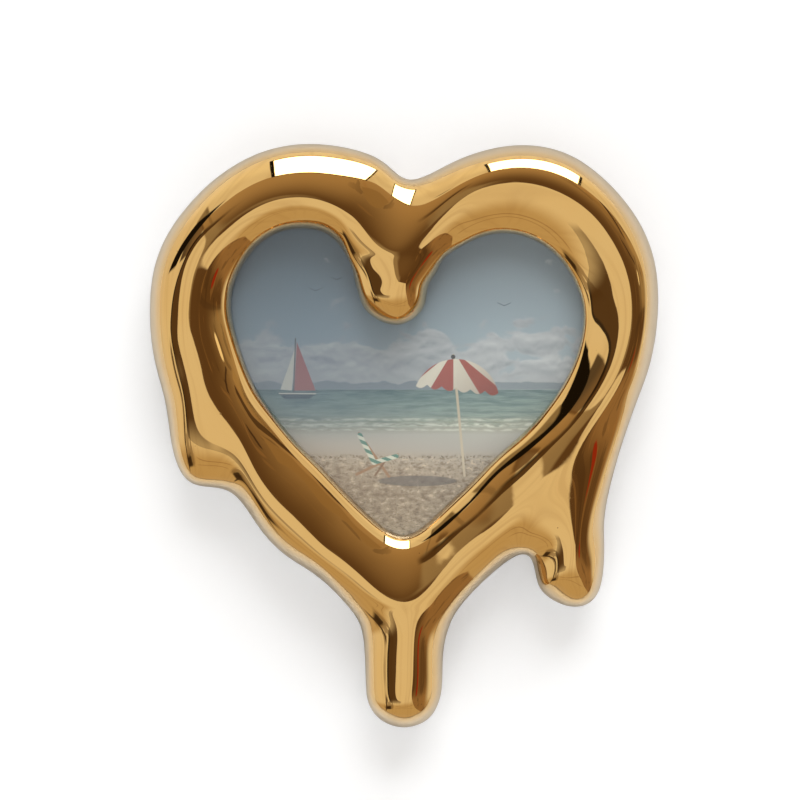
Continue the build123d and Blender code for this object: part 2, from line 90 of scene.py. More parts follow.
# Stations round the ring, clockwise from the cleft, in shares of WIDTH and HEIGHT:
# inner x, inner z, outer x, outer z, how far across the crest lies, its height as a share
# of DEPTH, how far up to it the inner shoulder is, and what grows or is fixed there.
RING_SHARES = [
    (-0.020, -0.055, 0.010, 0.086, 0.25, 0.95, 0.62, "tongue"),
    (0.081, -0.045, 0.083, 0.111, 0.50, 0.96, 0.62, ""),
    (0.139, -0.015, 0.157, 0.136, 0.57, 0.98, 0.62, ""),
    (0.196, -0.005, 0.238, 0.145, 0.58, 0.99, 0.62, ""),
    (0.250, -0.015, 0.326, 0.127, 0.58, 0.99, 0.60, "button"),
    (0.297, -0.043, 0.403, 0.077, 0.60, 0.99, 0.56, ""),
    (0.332, -0.086, 0.462, 0.010, 0.59, 0.99, 0.50, "pad"),
    (0.350, -0.137, 0.493, -0.069, 0.60, 0.99, 0.46, ""),
    (0.344, -0.196, 0.495, -0.158, 0.63, 0.99, 0.45, ""),
    (0.318, -0.254, 0.477, -0.242, 0.61, 0.99, 0.46, "button"),
    (0.281, -0.302, 0.438, -0.334, 0.52, 0.98, 0.50, ""),
    (0.234, -0.348, 0.334, -0.463, 0.44, 0.98, 0.54, "right drip"),
    (0.181, -0.389, 0.228, -0.556, 0.54, 0.97, 0.56, ""),
    (0.128, -0.436, 0.175, -0.585, 0.54, 0.97, 0.56, "pad"),
    (0.071, -0.482, 0.114, -0.638, 0.52, 0.97, 0.58, ""),
    (0.000, -0.525, -0.002, -0.652, 0.75, 0.97, 0.58, "centre drip"),
    (-0.069, -0.492, -0.116, -0.640, 0.62, 0.97, 0.60, ""),
    (-0.122, -0.448, -0.173, -0.593, 0.68, 0.96, 0.62, ""),
    (-0.171, -0.403, -0.232, -0.559, 0.63, 0.96, 0.62, "pad"),
    (-0.214, -0.365, -0.281, -0.516, 0.63, 0.96, 0.62, ""),
    (-0.251, -0.326, -0.318, -0.470, 0.62, 0.96, 0.62, ""),
    (-0.285, -0.285, -0.361, -0.443, 0.50, 0.96, 0.62, ""),
    (-0.306, -0.250, -0.422, -0.432, 0.42, 0.96, 0.62, ""),
    (-0.322, -0.214, -0.456, -0.376, 0.47, 0.97, 0.62, ""),
    (-0.334, -0.178, -0.470, -0.300, 0.50, 0.98, 0.62, "button"),
    (-0.342, -0.141, -0.491, -0.226, 0.51, 1.00, 0.62, ""),
    (-0.338, -0.099, -0.501, -0.146, 0.50, 1.00, 0.62, ""),
    (-0.318, -0.058, -0.491, -0.062, 0.49, 1.00, 0.62, "pad"),
    (-0.289, -0.026, -0.452, 0.012, 0.46, 1.00, 0.62, ""),
    (-0.251, -0.005, -0.381, 0.081, 0.42, 0.99, 0.62, ""),
    (-0.206, 0.003, -0.293, 0.129, 0.39, 0.99, 0.62, "button"),
    (-0.161, -0.003, -0.198, 0.147, 0.37, 0.99, 0.62, ""),
    (-0.128, -0.026, -0.108, 0.139, 0.37, 0.98, 0.62, ""),
    (-0.106, -0.060, -0.041, 0.115, 0.38, 0.96, 0.62, ""),
]

# Drips, from the ring outwards: rows of first edge x, z, last edge x, z, how far across the
# crest lies and its height share, then the three points round the tip in the same order.
CENTRE_DRIP_SHARES = [
    (0.088, -0.678, -0.088, -0.678, 0.46, 0.97),
    (0.075, -0.724, -0.079, -0.724, 0.45, 0.95),
    (0.073, -0.775, -0.077, -0.775, 0.46, 0.93),
    (0.065, -0.811, -0.071, -0.811, 0.48, 0.91),
]
CENTRE_TIP_SHARES = [(0.043, -0.840), (-0.002, -0.852), (-0.047, -0.840)]
RIGHT_DRIP_SHARES = [
    (0.397, -0.463, 0.251, -0.571, 0.50, 0.94),
    (0.391, -0.540, 0.261, -0.604, 0.50, 0.91),
]
RIGHT_TIP_SHARES = [(0.380, -0.621), (0.330, -0.645), (0.282, -0.629)]
TONGUE_SHARES = [
    (-0.098, -0.082, 0.061, -0.072, 0.57, 0.99),
    (-0.088, -0.113, 0.043, -0.099, 0.58, 0.99),
]
TONGUE_TIP_SHARES = [(-0.068, -0.142), (-0.014, -0.161), (0.033, -0.134)]
INNER_ROWS = ("inner shoulder", "inner side", "lip")
OUTER_ROWS = ("outer shoulder", "outer side", "base")

# Depths of the pieces behind the opening
PRINT_FRONT = LIP_DEPTH - GLASS_THICKNESS
STACK_BACK = PRINT_FRONT - PRINT_THICKNESS - CARD_THICKNESS - BOARD_THICKNESS - FELT_THICKNESS

# Where the photograph was taken from
IMAGE_MIDDLE_X = -2 * MM
IMAGE_MIDDLE_Z = -71 * MM
IMAGE_WIDTH = 322.2 * MM
CAMERA_DISTANCE = 1.5
SENSOR_WIDTH = 36.0


# The melted heart's cage, as the construction lays it out


def plan(x_share, z_share):
    """A point of the front view, in metres from the hanger's hole."""
    return np.array([x_share * WIDTH, z_share * HEIGHT - HANGER_RISE])


def spot(place, depth):
    """A point in space from a front view point and a depth forward of the back."""
    return np.array([place[0], -depth, place[1]])


def unit(vector):
    return vector / np.linalg.norm(vector)


def stations_with(feature):
    return [k for k, row in enumerate(RING_SHARES) if row[-1] == feature]


def ring_spots():
    """Where the skin should pass, by row and station."""
    spots = {}
    for k, (*edges, place, height, inner_rise, _) in enumerate(RING_SHARES):
        inner, outer = plan(*edges[:2]), plan(*edges[2:])
        crest, top = inner + place * (outer - inner), height * DEPTH
        spots["lip", k] = spot(inner, LIP_DEPTH)
        spots["inner side", k] = spot(inner, INNER_SIDE_DEPTH)
        inner_shoulder = inner + SHOULDER_SHARE * (crest - inner)
        outer_shoulder = outer + SHOULDER_SHARE * (crest - outer)
        inner_top = INNER_SIDE_DEPTH + inner_rise * (top - INNER_SIDE_DEPTH)
        outer_top = EQUATOR_DEPTH + OUTER_RISE_SHARE * (top - EQUATOR_DEPTH)
        spots["inner shoulder", k] = spot(inner_shoulder, inner_top)
        spots["outer shoulder", k] = spot(outer_shoulder, outer_top)
        spots["crest", k] = spot(crest, top)
        spots["outer side", k] = spot(outer, EQUATOR_DEPTH)
        spots["base", k] = spot(outer - BASE_INSET * unit(outer - inner), 0.0)
    return spots


def finger_spots(name, rows, row_shares, tip_shares):
    """Where the skin of a drip should pass: its top, its side and its foot."""
    side_depth = INNER_SIDE_DEPTH if rows is INNER_ROWS else EQUATOR_DEPTH
    foot_depth = LIP_DEPTH if rows is INNER_ROWS else 0.0
    foot_inset = 0.0 if rows is INNER_ROWS else BASE_INSET
    spots = {}
    edges = []
    for j, (first_x, first_z, last_x, last_z, place, crest) in enumerate(row_shares):
        first, last = plan(first_x, first_z), plan(last_x, last_z)
        middle = first + place * (last - first)
        height = crest * DEPTH
        shoulder = side_depth + DRIP_RISE_SHARE * (height - side_depth)
        spots[name, "crest", j] = spot(middle, height)
        edges.append(("first", j, first, middle, shoulder))
        edges.append(("last", j, last, middle, shoulder))
    for side, (x_share, z_share) in zip(("first tip", "tip", "last tip"), tip_shares):
        edges.append((side, len(row_shares), plan(x_share, z_share), middle, shoulder))
    for side, j, edge, middle, shoulder in edges:
        inward = middle - edge
        top_share = TIP_SHOULDER_SHARE if "tip" in side else DRIP_SHOULDER_SHARE
        spots[name, side, "top", j] = spot(edge + top_share * inward, shoulder)
        spots[name, side, "side", j] = spot(edge, side_depth)
        spots[name, side, "foot", j] = spot(edge + foot_inset * unit(inward), foot_depth)
    return spots


def finger_loop(name, rows, level, station, stations, count):
    """Keys of one loop round a drip, from the station before it to the one after."""
    row = rows[("top", "side", "foot").index(level)]
    there = [(name, "first", level, j) for j in range(count)]
    round_tip = [(name, side, level, count) for side in ("first tip", "tip", "last tip")]
    back = [(name, "last", level, j) for j in reversed(range(count))]
    before, after = (row, (station - 1) % stations), (row, (station + 1) % stations)
    return [before, *there, *round_tip, *back, after]


def finger_quads(name, rows, station, stations, count):
    """The faces of one drip, which stand in for the ring's faces beside its station."""
    tops, sides, feet = (
        finger_loop(name, rows, level, station, stations, count)
        for level in ("top", "side", "foot")
    )
    quads = []
    for upper, lower in ((tops, sides), (sides, feet)):
        for k in range(len(upper) - 1):
            quads.append((upper[k], upper[k + 1], lower[k + 1], lower[k]))
    middles = [(rows[0], station), *((name, "crest", j) for j in range(count))]
    for k in range(count):
        quads.append((tops[k], middles[k], middles[k + 1], tops[k + 1]))
        quads.append((middles[k], tops[-1 - k], tops[-2 - k], middles[k + 1]))
    last = middles[-1]
    quads.append((tops[count], last, tops[count + 2], tops[count + 1]))
    quads.append((last, tops[count + 4], tops[count + 3], tops[count + 2]))
    return [quad[::-1] for quad in quads] if rows is OUTER_ROWS else quads


def melted_cage():
    """Spots that the skin passes near, and the four-sided faces between them."""
    stations = len(RING_SHARES)
    rows = ("lip", "inner side", "inner shoulder", "crest", "outer shoulder", "outer side", "base")
    spots = ring_spots()
    fingers = (
        ("tongue", INNER_ROWS, TONGUE_SHARES, TONGUE_TIP_SHARES),
        ("right drip", OUTER_ROWS, RIGHT_DRIP_SHARES, RIGHT_TIP_SHARES),
        ("centre drip", OUTER_ROWS, CENTRE_DRIP_SHARES, CENTRE_TIP_SHARES),
    )
    quads, hidden = [], set()
    for name, finger_rows, row_shares, tip_shares in fingers:
        (station,) = stations_with(name)
        count = len(row_shares)
        spots.update(finger_spots(name, finger_rows, row_shares, tip_shares))
        root, ridge = spots["crest", station], spots[name, "crest", 0]
        spots[finger_rows[0], station] = (root + ridge) / 2 - np.array([0, ROOT_LIFT, 0])
        quads += finger_quads(name, finger_rows, station, stations, count)
        hidden |= {(row, station) for row in finger_rows[1:]}
    for k in range(stations):
        after = (k + 1) % stations
        for low, high in zip(rows, rows[1:]):
            quad = ((low, k), (high, k), (high, after), (low, after))
            if not hidden & set(quad):
                quads.append(quad)
    used = {key for quad in quads for key in quad}
    return {key: spots[key] for key in spots if key in used}, quads


def neighbours(quads):
    """For each vertex, its edges' far ends, its faces' far corners, and its rim neighbours."""
    edge_ends, corners, edge_faces = {}, {}, {}
    for quad in quads:
        for i, key in enumerate(quad):
            following, opposite = quad[(i + 1) % 4], quad[(i + 2) % 4]
            corners.setdefault(key, []).append(opposite)
            edge_ends.setdefault(key, set()).add(following)
            edge_ends.setdefault(following, set()).add(key)
            edge = frozenset((key, following))
            edge_faces[edge] = edge_faces.get(edge, 0) + 1
    rim = {}
    for edge, faces in edge_faces.items():
        if faces == 1:
            first, second = edge
            rim.setdefault(first, []).append(second)
            rim.setdefault(second, []).append(first)
    return edge_ends, corners, rim


def limit_point(key, cage, edge_ends, corners, rim):
    """Where the smooth skin passes, for one vertex of its cage."""
    if key in rim:
        return (4 * cage[key] + sum(cage[end] for end in rim[key])) / 6
    n = len(edge_ends[key])
    ends = sum(cage[end] for end in edge_ends[key])
    far = sum(cage[corner] for corner in corners[key])
    return (n * n * cage[key] + 4 * ends + far) / (n * (n + 5))


def fitted_cage(spots, quads, rounds=6):
    """Moves the cage until the smooth skin passes near the spots."""
    edge_ends, corners, rim = neighbours(quads)
    cage = dict(spots)
    for _ in range(rounds):
        limits = {key: limit_point(key, cage, edge_ends, corners, rim) for key in cage}
        cage = {key: cage[key] + spots[key] - limits[key] for key in cage}
    return cage


# Outlines of the flat pieces


def inner_place(k):
    return plan(*RING_SHARES[k % len(RING_SHARES)][:2])


def outward(k):
    """Square to the opening's edge at a station, pointing into the ring."""
    along = inner_place(k + 1) - inner_place(k - 1)
    return unit(np.array([-along[1], along[0]]))


def heart_outline(step, points_between=8):
    """Points on a smooth closed curve a step outside the opening, its tongue left out."""
    count = len(RING_SHARES)
    places = [inner_place(k) + step * outward(k) for k in range(count)]
    points = []
    for k in range(count):
        before, start, end, after = (places[(k + shift) % count] for shift in (-1, 0, 1, 2))
        start_slope, end_slope = (end - before) / 2, (after - start) / 2
        for i in range(points_between):
            t = i / points_between
            points.append(
                (2 * t**3 - 3 * t**2 + 1) * start
                + (t**3 - 2 * t**2 + t) * start_slope
                + (3 * t**2 - 2 * t**3) * end
                + (t**3 - t**2) * end_slope
            )
    return points


def arc_points(middle, radius, start, end, count):
    """Points along an arc of the front view, between two angles in degrees."""
    angles = np.radians(np.linspace(start, end, count))
    return [middle + radius * np.array([math.cos(a), math.sin(a)]) for a in angles]


def swing_outline(k):
    """The round recess that a turn button swings in."""
    pivot = inner_place(k) + (REBATE_STEP + PIVOT_SETBACK) * outward(k)
    return arc_points(pivot, SWING_RADIUS, 0, 355, 72)


def plate_outline():
    """The rounded recess that the hanger plate lies in."""
    half = PLATE_WIDTH / 2 + PLATE_CLEARANCE - PLATE_CORNER
    top = PLATE_ABOVE + PLATE_CLEARANCE - PLATE_CORNER
    bottom = PLATE_CORNER - PLATE_BELOW - PLATE_CLEARANCE
    corners = ((half, top), (-half, top), (-half, bottom), (half, bottom))
    points = []
    for quarter, corner in enumerate(corners):
        start = 90 * quarter
        points += arc_points(np.array(corner), PLATE_CORNER, start, start + 90, 8)
    return points


def pocket_outline():
    """The round-ended pocket behind the keyhole."""
    low = arc_points(np.array([0.0, 0.0]), POCKET_RADIUS, 180, 360, 24)
    return low + arc_points(np.array([0.0, KEYHOLE_RISE]), POCKET_RADIUS, 0, 180, 24)


# Meshes


def mesh_of(bm, name):
    """The mesh made in a bmesh, which is then freed."""
    mesh = bpy.data.meshes.new(name)
    bm.to_mesh(mesh)
    bm.free()
    return mesh


def prism_mesh(name, outlines, front, back, arris=0.0):
    """Flat solids between two depths, one per outline, with an optional fine arris."""
    bm = bmesh.new()
    for points in outlines:
        near = [bm.verts.new(Vector(spot(point, front))) for point in points]
        far = [bm.verts.new(Vector(spot(point, back))) for point in points]
        bm.faces.new(near)
        bm.faces.new(far[::-1])
        for i in range(len(points)):
            j = (i + 1) % len(points)
            bm.faces.new((near[j], near[i], far[i], far[j]))
    bmesh.ops.recalc_face_normals(bm, faces=bm.faces)
    if arris:
        rims = [edge for edge in bm.edges if edge.verts[0].co.y == edge.verts[1].co.y]
        bmesh.ops.bevel(bm, geom=rims, offset=arris, segments=2, profile=0.5, affect="EDGES")
    return mesh_of(bm, name)


def loose_object(name, mesh):
    piece = bpy.data.objects.new(name, mesh)
    bpy.context.scene.collection.objects.link(piece)
    return piece


def shaped_mesh(piece):
    """The mesh that a loose object's modifiers give. The object is then thrown away."""
    graph = bpy.context.evaluated_depsgraph_get()
    mesh = bpy.data.meshes.new_from_object(piece.evaluated_get(graph))
    bpy.data.objects.remove(piece, do_unlink=True)
    return mesh


def smooth_skin(levels):
    """The melted front as one smooth open skin."""
    spots, quads = melted_cage()
    cage = fitted_cage(spots, quads)
    order = {key: i for i, key in enumerate(cage)}
    mesh = bpy.data.meshes.new("melted_cage")
    faces = [[order[key] for key in quad] for quad in quads]
    mesh.from_pydata([tuple(place) for place in cage.values()], [], faces)
    piece = loose_object("melted_cage", mesh)
    smoothing = piece.modifiers.new("smooth skin", "SUBSURF")
    smoothing.levels = smoothing.render_levels = levels
    smoothing.use_limit_surface = True
    smoothing.boundary_smooth = "ALL"
    return shaped_mesh(piece)


def rim_loops(mesh):
    """The closed rims of an open mesh, as lists of vertex indices in order."""
    bm = bmesh.new()
    bm.from_mesh(mesh)
    beside = {}
    for edge in bm.edges:
        if edge.is_boundary:
            first, second = (vert.index for vert in edge.verts)
            beside.setdefault(first, []).append(second)
            beside.setdefault(second, []).append(first)
    bm.free()
    loops = []
    while beside:
        start = next(iter(beside))
        loop, following = [start], beside[start][0]
        while following != start:
            loop.append(following)
            following = next(v for v in beside[following] if v != loop[-2])
        for v in loop:
            del beside[v]
        loops.append(loop)
    return loops


def vertex_vectors(mesh, name):
    values = np.empty(len(mesh.vertices) * 3)
    mesh.vertices.foreach_get(name, values)
    return values.reshape(-1, 3)


def waver(skin, swells, fade_rings=12):
    """Lets the skin wander inwards a little between its rims, as a hand-poured casting does."""
    places, normals = vertex_vectors(skin, "co"), vertex_vectors(skin, "normal")
    ends = np.empty(len(skin.edges) * 2, dtype=int)
    skin.edges.foreach_get("vertices", ends)
    ends = ends.reshape(-1, 2)
    freedom = np.ones(len(places))
    freedom[[v for loop in rim_loops(skin) for v in loop]] = 0.0
    for _ in range(fade_rings):
        eased = freedom.copy()
        np.minimum.at(eased, ends[:, 0], freedom[ends[:, 1]] + 1 / fade_rings)
        np.minimum.at(eased, ends[:, 1], freedom[ends[:, 0]] + 1 / fade_rings)
        freedom = eased
    sink = np.zeros(len(places))
    for depth, spacing in swells:
        wander = np.array([noise.noise(Vector(place / spacing)) for place in places])
        sink += depth * np.clip(0.5 + 0.5 * wander, 0, 1)
    places -= normals * (sink * freedom)[:, None]
    skin.vertices.foreach_set("co", places.ravel())
    skin.update()


def closed_body(skin):
    """The skin closed by the flat back, the lip's floor and the rebate's wall."""
    bm = bmesh.new()
    bm.from_mesh(skin)
    for face in bm.faces:
        face.smooth = True
    skin_faces = set(bm.faces)
    outline = heart_outline(REBATE_STEP)
    back = [bm.verts.new(Vector(spot(point, 0.0))) for point in outline]
    floor = [bm.verts.new(Vector(spot(point, LIP_DEPTH))) for point in outline]
    for i in range(len(outline)):
        j = (i + 1) % len(outline)
        bm.faces.new((back[i], back[j], floor[j], floor[i]))
    open_edges = [edge for edge in bm.edges if edge.is_boundary]
    for depth in (0.0, LIP_DEPTH):
        level = [e for e in open_edges if all(abs(v.co.y + depth) < HAIR_GAP for v in e.verts)]
        bmesh.ops.triangle_fill(bm, use_beauty=True, edges=level, normal=(0, 1, 0))
    bmesh.ops.recalc_face_normals(bm, faces=bm.faces)
    for face in bm.faces:
        face.material_index = 0 if face in skin_faces else 1
    return mesh_of(bm, "melted_body")


def cut(mesh, cutter_mesh, materials):
    """The mesh less the cutter, whose walls get the second material."""
    for part in (mesh, cutter_mesh):
        part.materials.clear()
        for material in materials:
            part.materials.append(material)
    for face in cutter_mesh.polygons:
        face.material_index = 1
    piece, cutter = loose_object("cut_piece", mesh), loose_object("cutter", cutter_mesh)
    cutting = piece.modifiers.new("cut", "BOOLEAN")
    cutting.operation = "DIFFERENCE"
    cutting.solver = "MANIFOLD"
    cutting.object = cutter
    bpy.context.view_layer.update()
    result = shaped_mesh(piece)
    bpy.data.objects.remove(cutter, do_unlink=True)
    return result


def dressed_piece(name, mesh, body, node):
    """A shown piece that rides on a body and stands for a node of the construction."""
    mesh.name = name
    piece = loose_object(name, mesh)
    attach(piece, body)
    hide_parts(node)
    return piece


def melted_gold(skin):
    """The cast heart: melted front, flat back, rebate and the recesses for its fittings."""
    materials = [mirror_gold(), satin_gold()]
    body = closed_body(skin)
    swings = [swing_outline(k) for k in stations_with("button")]
    for outlines, depth in (
        (swings, STACK_BACK),
        ([plate_outline()], PLATE_THICKNESS),
        ([pocket_outline()], POCKET_DEPTH),
    ):
        body = cut(body, prism_mesh("cutter", outlines, depth, -OVERRUN), materials)
    body.set_sharp_from_angle(angle=math.radians(SHARP_TURN))
    dressed_piece("melted_gold", body, "frame", "melted_frame")


def heart_pane():
    """The glass, a hair thinner than its place so that its faces stay its own."""
    outline = heart_outline(REBATE_STEP - STACK_CLEARANCE)
    front, back = LIP_DEPTH - HAIR_GAP, PRINT_FRONT + HAIR_GAP
    mesh = prism_mesh("heart_pane", [outline], front, back, arris=GLASS_ARRIS)
    mesh.materials.append(clear_glass())
    dressed_piece("heart_pane", mesh, "glass", "glass_pane")


def seaside_print():
    """The print behind the glass."""
    outline = heart_outline(REBATE_STEP - STACK_CLEARANCE - PRINT_INSET)
    front, back = PRINT_FRONT - HAIR_GAP, PRINT_FRONT - PRINT_THICKNESS + HAIR_GAP
    mesh = prism_mesh("seaside_print", [outline], front, back)
    mesh.materials.append(printed_seaside())
    dressed_piece("seaside_print", mesh, "print", "photo_print")


# Shader building


class Field:
    """A value, colour or vector that varies over a surface, as a shader node puts it out."""

    def __init__(self, socket):
        self.socket = socket

    @property
    def tree(self):
        return self.socket.id_data

    def beside(self, output):
        """Another output of the same node."""
        return Field(self.socket.node.outputs[output])

    def math(self, operation, *others, clamp=False):
        values = (self, *others)
        return from_node(self.tree, "Math", values, operation=operation, use_clamp=clamp)

    def __add__(self, other):
        return self.math("ADD", other)

    def __sub__(self, other):
        return self.math("SUBTRACT", other)

    def __mul__(self, other):
        return self.math("MULTIPLY", other)

    def __truediv__(self, other):
        return self.math("DIVIDE", other)

    def __abs__(self):
        return self.math("ABSOLUTE")

    def flipped(self):
        """One less the value."""
        return from_node(self.tree, "Math", (1.0, self), operation="SUBTRACT")

    def most(self, other):
        return self.math("MAXIMUM", other)

    def least(self, other):
        return self.math("MINIMUM", other)

    def rise(self, low, high):
        """0 below low and 1 above high, smooth between. It falls where low is the higher."""
        values = (self, low, high, 0.0, 1.0)
        return from_node(self.tree, "MapRange", values, interpolation_type="SMOOTHSTEP")

    def between(self, low, high, soft):
        """1 from low to high, with soft edges."""
        return self.rise(low - soft, low + soft) * self.rise(high + soft, high - soft)

    def spread(self, low, high):
        """Maps 0 to 1 on low to high."""
        return self.math("MULTIPLY_ADD", high - low, low)


def feed(socket, value):
    """Links a field to a socket, or sets a number or a colour of three parts on it."""
    if isinstance(value, Field):
        socket.id_data.links.new(value.socket, socket)
    else:
        socket.default_value = (*value, 1.0) if socket.type == "RGBA" else value


def from_node(tree, kind, values=(), output=0, **settings):
    """What a new shader node puts out for the values at its inputs, in order or by name."""
    node = tree.nodes.new("ShaderNode" + kind)
    for name, setting in settings.items():
        setattr(node, name, setting)
    for key, value in values.items() if isinstance(values, dict) else enumerate(values):
        feed(node.inputs[key], value)
    return Field(node.outputs[output])


def ink(red, green, blue):
    """A colour as it is seen on a screen, in 0 to 255, for a shader."""
    seen = np.array([red, green, blue]) / 255
    linear = np.where(seen <= 0.04045, seen / 12.92, ((seen + 0.055) / 1.055) ** 2.4)
    return tuple(float(value) for value in linear)


def laid_over(mask, under, over):
    """The colour under, with the colour over laid on it where the mask is 1."""
    return from_node(mask.tree, "Mix", {0: mask, 6: under, 7: over}, 2, data_type="RGBA")


def layered(picture, *layers):
    """The picture with layers laid on it in turn, each a mask and a colour."""
    for mask, colour in layers:
        picture = laid_over(mask, picture, colour)
    return picture


def scaled(vector, factor):
    """A vector or colour with all its parts multiplied by a factor."""
    return from_node(vector.tree, "VectorMath", {0: vector, "Scale": factor}, operation="SCALE")


def ramp(value, stops):
    """A colour that runs through stops of (value from 0 to 1, colour)."""
    colour = from_node(value.tree, "ValToRGB", (value,))
    elements = colour.socket.node.color_ramp.elements
    while len(elements) < len(stops):
        elements.new(1.0)
    for element, (place, stop) in zip(elements, stops):
        element.position = place
        element.color = (*stop, 1.0)
    return colour


def parted(vector):
    """The three parts of a vector."""
    first = from_node(vector.tree, "SeparateXYZ", (vector,))
    return [first, first.beside(1), first.beside(2)]


def surface_place(tree):
    """Where a point of the piece lies, in millimetres: x, y and z."""
    return parted(scaled(from_node(tree, "TexCoord", output="Object"), 1 / MM))


def joined(x, y, z):
    """A vector from three fields or numbers, of which the first is a field."""
    return from_node(x.tree, "CombineXYZ", (x, y, z))


def length(across, up):
    """How far a way across and a way up lead together."""
    return (across * across + up * up).math("SQRT")


def mottle(place, size=1.0, detail=2.0, roughness=0.5, distortion=0.0):
    """Soft noise from 0 to 1 whose blotches are about a size across."""
    values = {"Vector": place, "Scale": 1 / size, "Detail": detail}
    values.update({"Roughness": roughness, "Distortion": distortion})
    return from_node(place.tree, "TexNoise", values)


def cells(place, size=1.0):
    """How far off the nearest of points scattered about a size apart is, in sizes."""
    return from_node(place.tree, "TexVoronoi", {"Vector": place, "Scale": 1 / size}, "Distance")


def relief(height, distance, strength):
    """A bump normal from a height field."""
    values = {"Strength": strength, "Distance": distance, "Height": height}
    return from_node(height.tree, "Bump", values)


def ray(tree, kind):
    """1 where the finish is met by a ray of a kind, such as Camera or Glossy."""
    return from_node(tree, "LightPath", output=f"Is {kind} Ray")


def new_finish(name):
    """A new material and its node tree."""
    material = bpy.data.materials.new(name)
    material.use_nodes = True
    return material, material.node_tree


def set_finish(material, **values):
    """Sets the main shader's sockets, named in words joined by underscores."""
    shader = material.node_tree.nodes["Principled BSDF"]
    sockets = {socket.name.replace(" ", "_").lower(): socket for socket in shader.inputs}
    for name, value in values.items():
        feed(sockets[name], value)
    return material


def see_through(material, mask, tint=(1.0, 1.0, 1.0)):
    """Lets light straight through the finish where the mask is 1."""
    tree = material.node_tree
    shader = Field(tree.nodes["Principled BSDF"].outputs[0])
    clear = from_node(tree, "BsdfTransparent", (tint,))
    surface = from_node(tree, "MixShader", (mask, shader, clear))
    feed(tree.nodes["Material Output"].inputs["Surface"], surface)
    return material


# Effects that several finishes share


def shared_effect(name, inputs, outputs):
    """An empty shader node group with named numbers in and out."""
    group = bpy.data.node_groups.new(name, "ShaderNodeTree")
    for label, value in inputs.items():
        socket = group.interface.new_socket(label, in_out="INPUT", socket_type="NodeSocketFloat")
        socket.default_value = value
    for label in outputs:
        group.interface.new_socket(label, in_out="OUTPUT", socket_type="NodeSocketFloat")
    start = group.nodes.new("NodeGroupInput")
    end = group.nodes.new("NodeGroupOutput")
    return group, [Field(socket) for socket in start.outputs[: len(inputs)]], end.inputs


def in_steps(place, step):
    """A place's x, y and z, counted in steps of some millimetres."""
    return [part / step for part in place]


def handling_group():
    """Faint smears and fine rubbed scratches that a hand leaves. Size is in millimetres."""
    group, (size,), ends = shared_effect("handling", {"Size": 30.0}, ("Smears", "Scratches"))
    x, y, z = in_steps(surface_place(group), size)
    smears = mottle(joined(x, y, z), detail=4, distortion=0.6).rise(0.35, 0.75)
    scratches = mottle(joined(x * 2, y * 2, z * 40), detail=3, distortion=0.4).rise(0.64, 0.72)
    feed(ends["Smears"], smears)
    feed(ends["Scratches"], scratches)
    return group


def pits_group():
    """Scattered round pits or flecks. Spacing and Width are in millimetres."""
    sizes = {"Spacing": 8.0, "Width": 0.4}
    group, (spacing, width), ends = shared_effect("pits", sizes, ("Pits", "Shade"))
    apart = cells(joined(*in_steps(surface_place(group), spacing)))
    chance = from_node(group, "SeparateColor", (apart.beside("Color"),))
    size = width * chance
    feed(ends["Pits"], (apart * spacing / size).rise(1.0, 0.5))
    feed(ends["Shade"], chance.beside(1))
    return group


def fibre_group():
    """Tangled fibres of a width in millimetres, as height and as a tone."""
    group, (width,), ends = shared_effect("fibres", {"Width": 0.3}, ("Height", "Tone"))
    x, y, z = in_steps(surface_place(group), width)
    height = None
    for turn, (along, across) in enumerate(((0.12, 1.0), (1.0, 0.15), (0.5, 0.6))):
        place = joined(x * along, y + turn * 7.0, z * across)
        layer = mottle(place, detail=3, roughness=0.6, distortion=1.5)
        height = layer if height is None else height.most(layer)
    feed(ends["Height"], height)
    feed(ends["Tone"], mottle(joined(x, y, z), 14.0, detail=5))
    return group


def placed(tree, group, **values):
    """A shared effect placed in a finish. Gives its outputs by name."""
    node = tree.nodes.new("ShaderNodeGroup")
    node.node_tree = group
    for name, value in values.items():
        node.inputs[name.capitalize()].default_value = value
    return {socket.name: Field(socket) for socket in node.outputs}


HANDLING = handling_group()
PITS = pits_group()
FIBRES = fibre_group()


# Finishes


BLUE_ZINC = (0.70, 0.71, 0.73)
YELLOW_ZINC = (0.72, 0.66, 0.52)


def mirror_gold():
    """Bright plated gold under clear lacquer, with fine pits, smears, a slight orange peel and
    painted light.
    """
    material, tree = new_finish("mirror_gold")
    hand = placed(tree, HANDLING, size=34.0)
    pits = placed(tree, PITS, spacing=9.0, width=0.45)
    place = joined(*surface_place(tree))
    # painted reflection: where the surface turns away towards the rim, the gold's colour goes pale
    # cream, as of the white wall reflected
    painted_rim_reflection = from_node(tree, "LayerWeight", {"Blend": 0.5}, "Facing").rise(0.18, 0.64)
    colour = layered(
        (0.885, 0.565, 0.205),
        (mottle(place, 26.0, detail=3).rise(0.3, 0.7), (0.875, 0.545, 0.188)),
        (pits["Pits"] * 0.75, (0.30, 0.15, 0.04)),
        # painted reflection: pale cream at the rim
        (painted_rim_reflection, (0.83, 0.69, 0.50)),
        # painted shade: the gold is darker where other surfaces see it in their reflections
        (ray(tree, "Glossy") * 0.4, (0.42, 0.27, 0.13)),
        # painted light: the gold shows grey to bounced light, so that the wall beside it takes no
        # gold glow
        (ray(tree, "Diffuse") * 0.85, (0.42, 0.41, 0.40)),
    )
    return set_finish(
        material,
        base_color=colour,
        metallic=1.0,
        roughness=hand["Smears"] * 0.025 + hand["Scratches"] * 0.03 + 0.018,
        specular_tint=(0.78, 0.74, 0.68),
        coat_weight=0.25,
        coat_roughness=0.03,
        coat_ior=1.4,
        normal=relief(mottle(place, 5.0, detail=1) + pits["Pits"] * -0.6, 0.05 * MM, 0.15),
    )


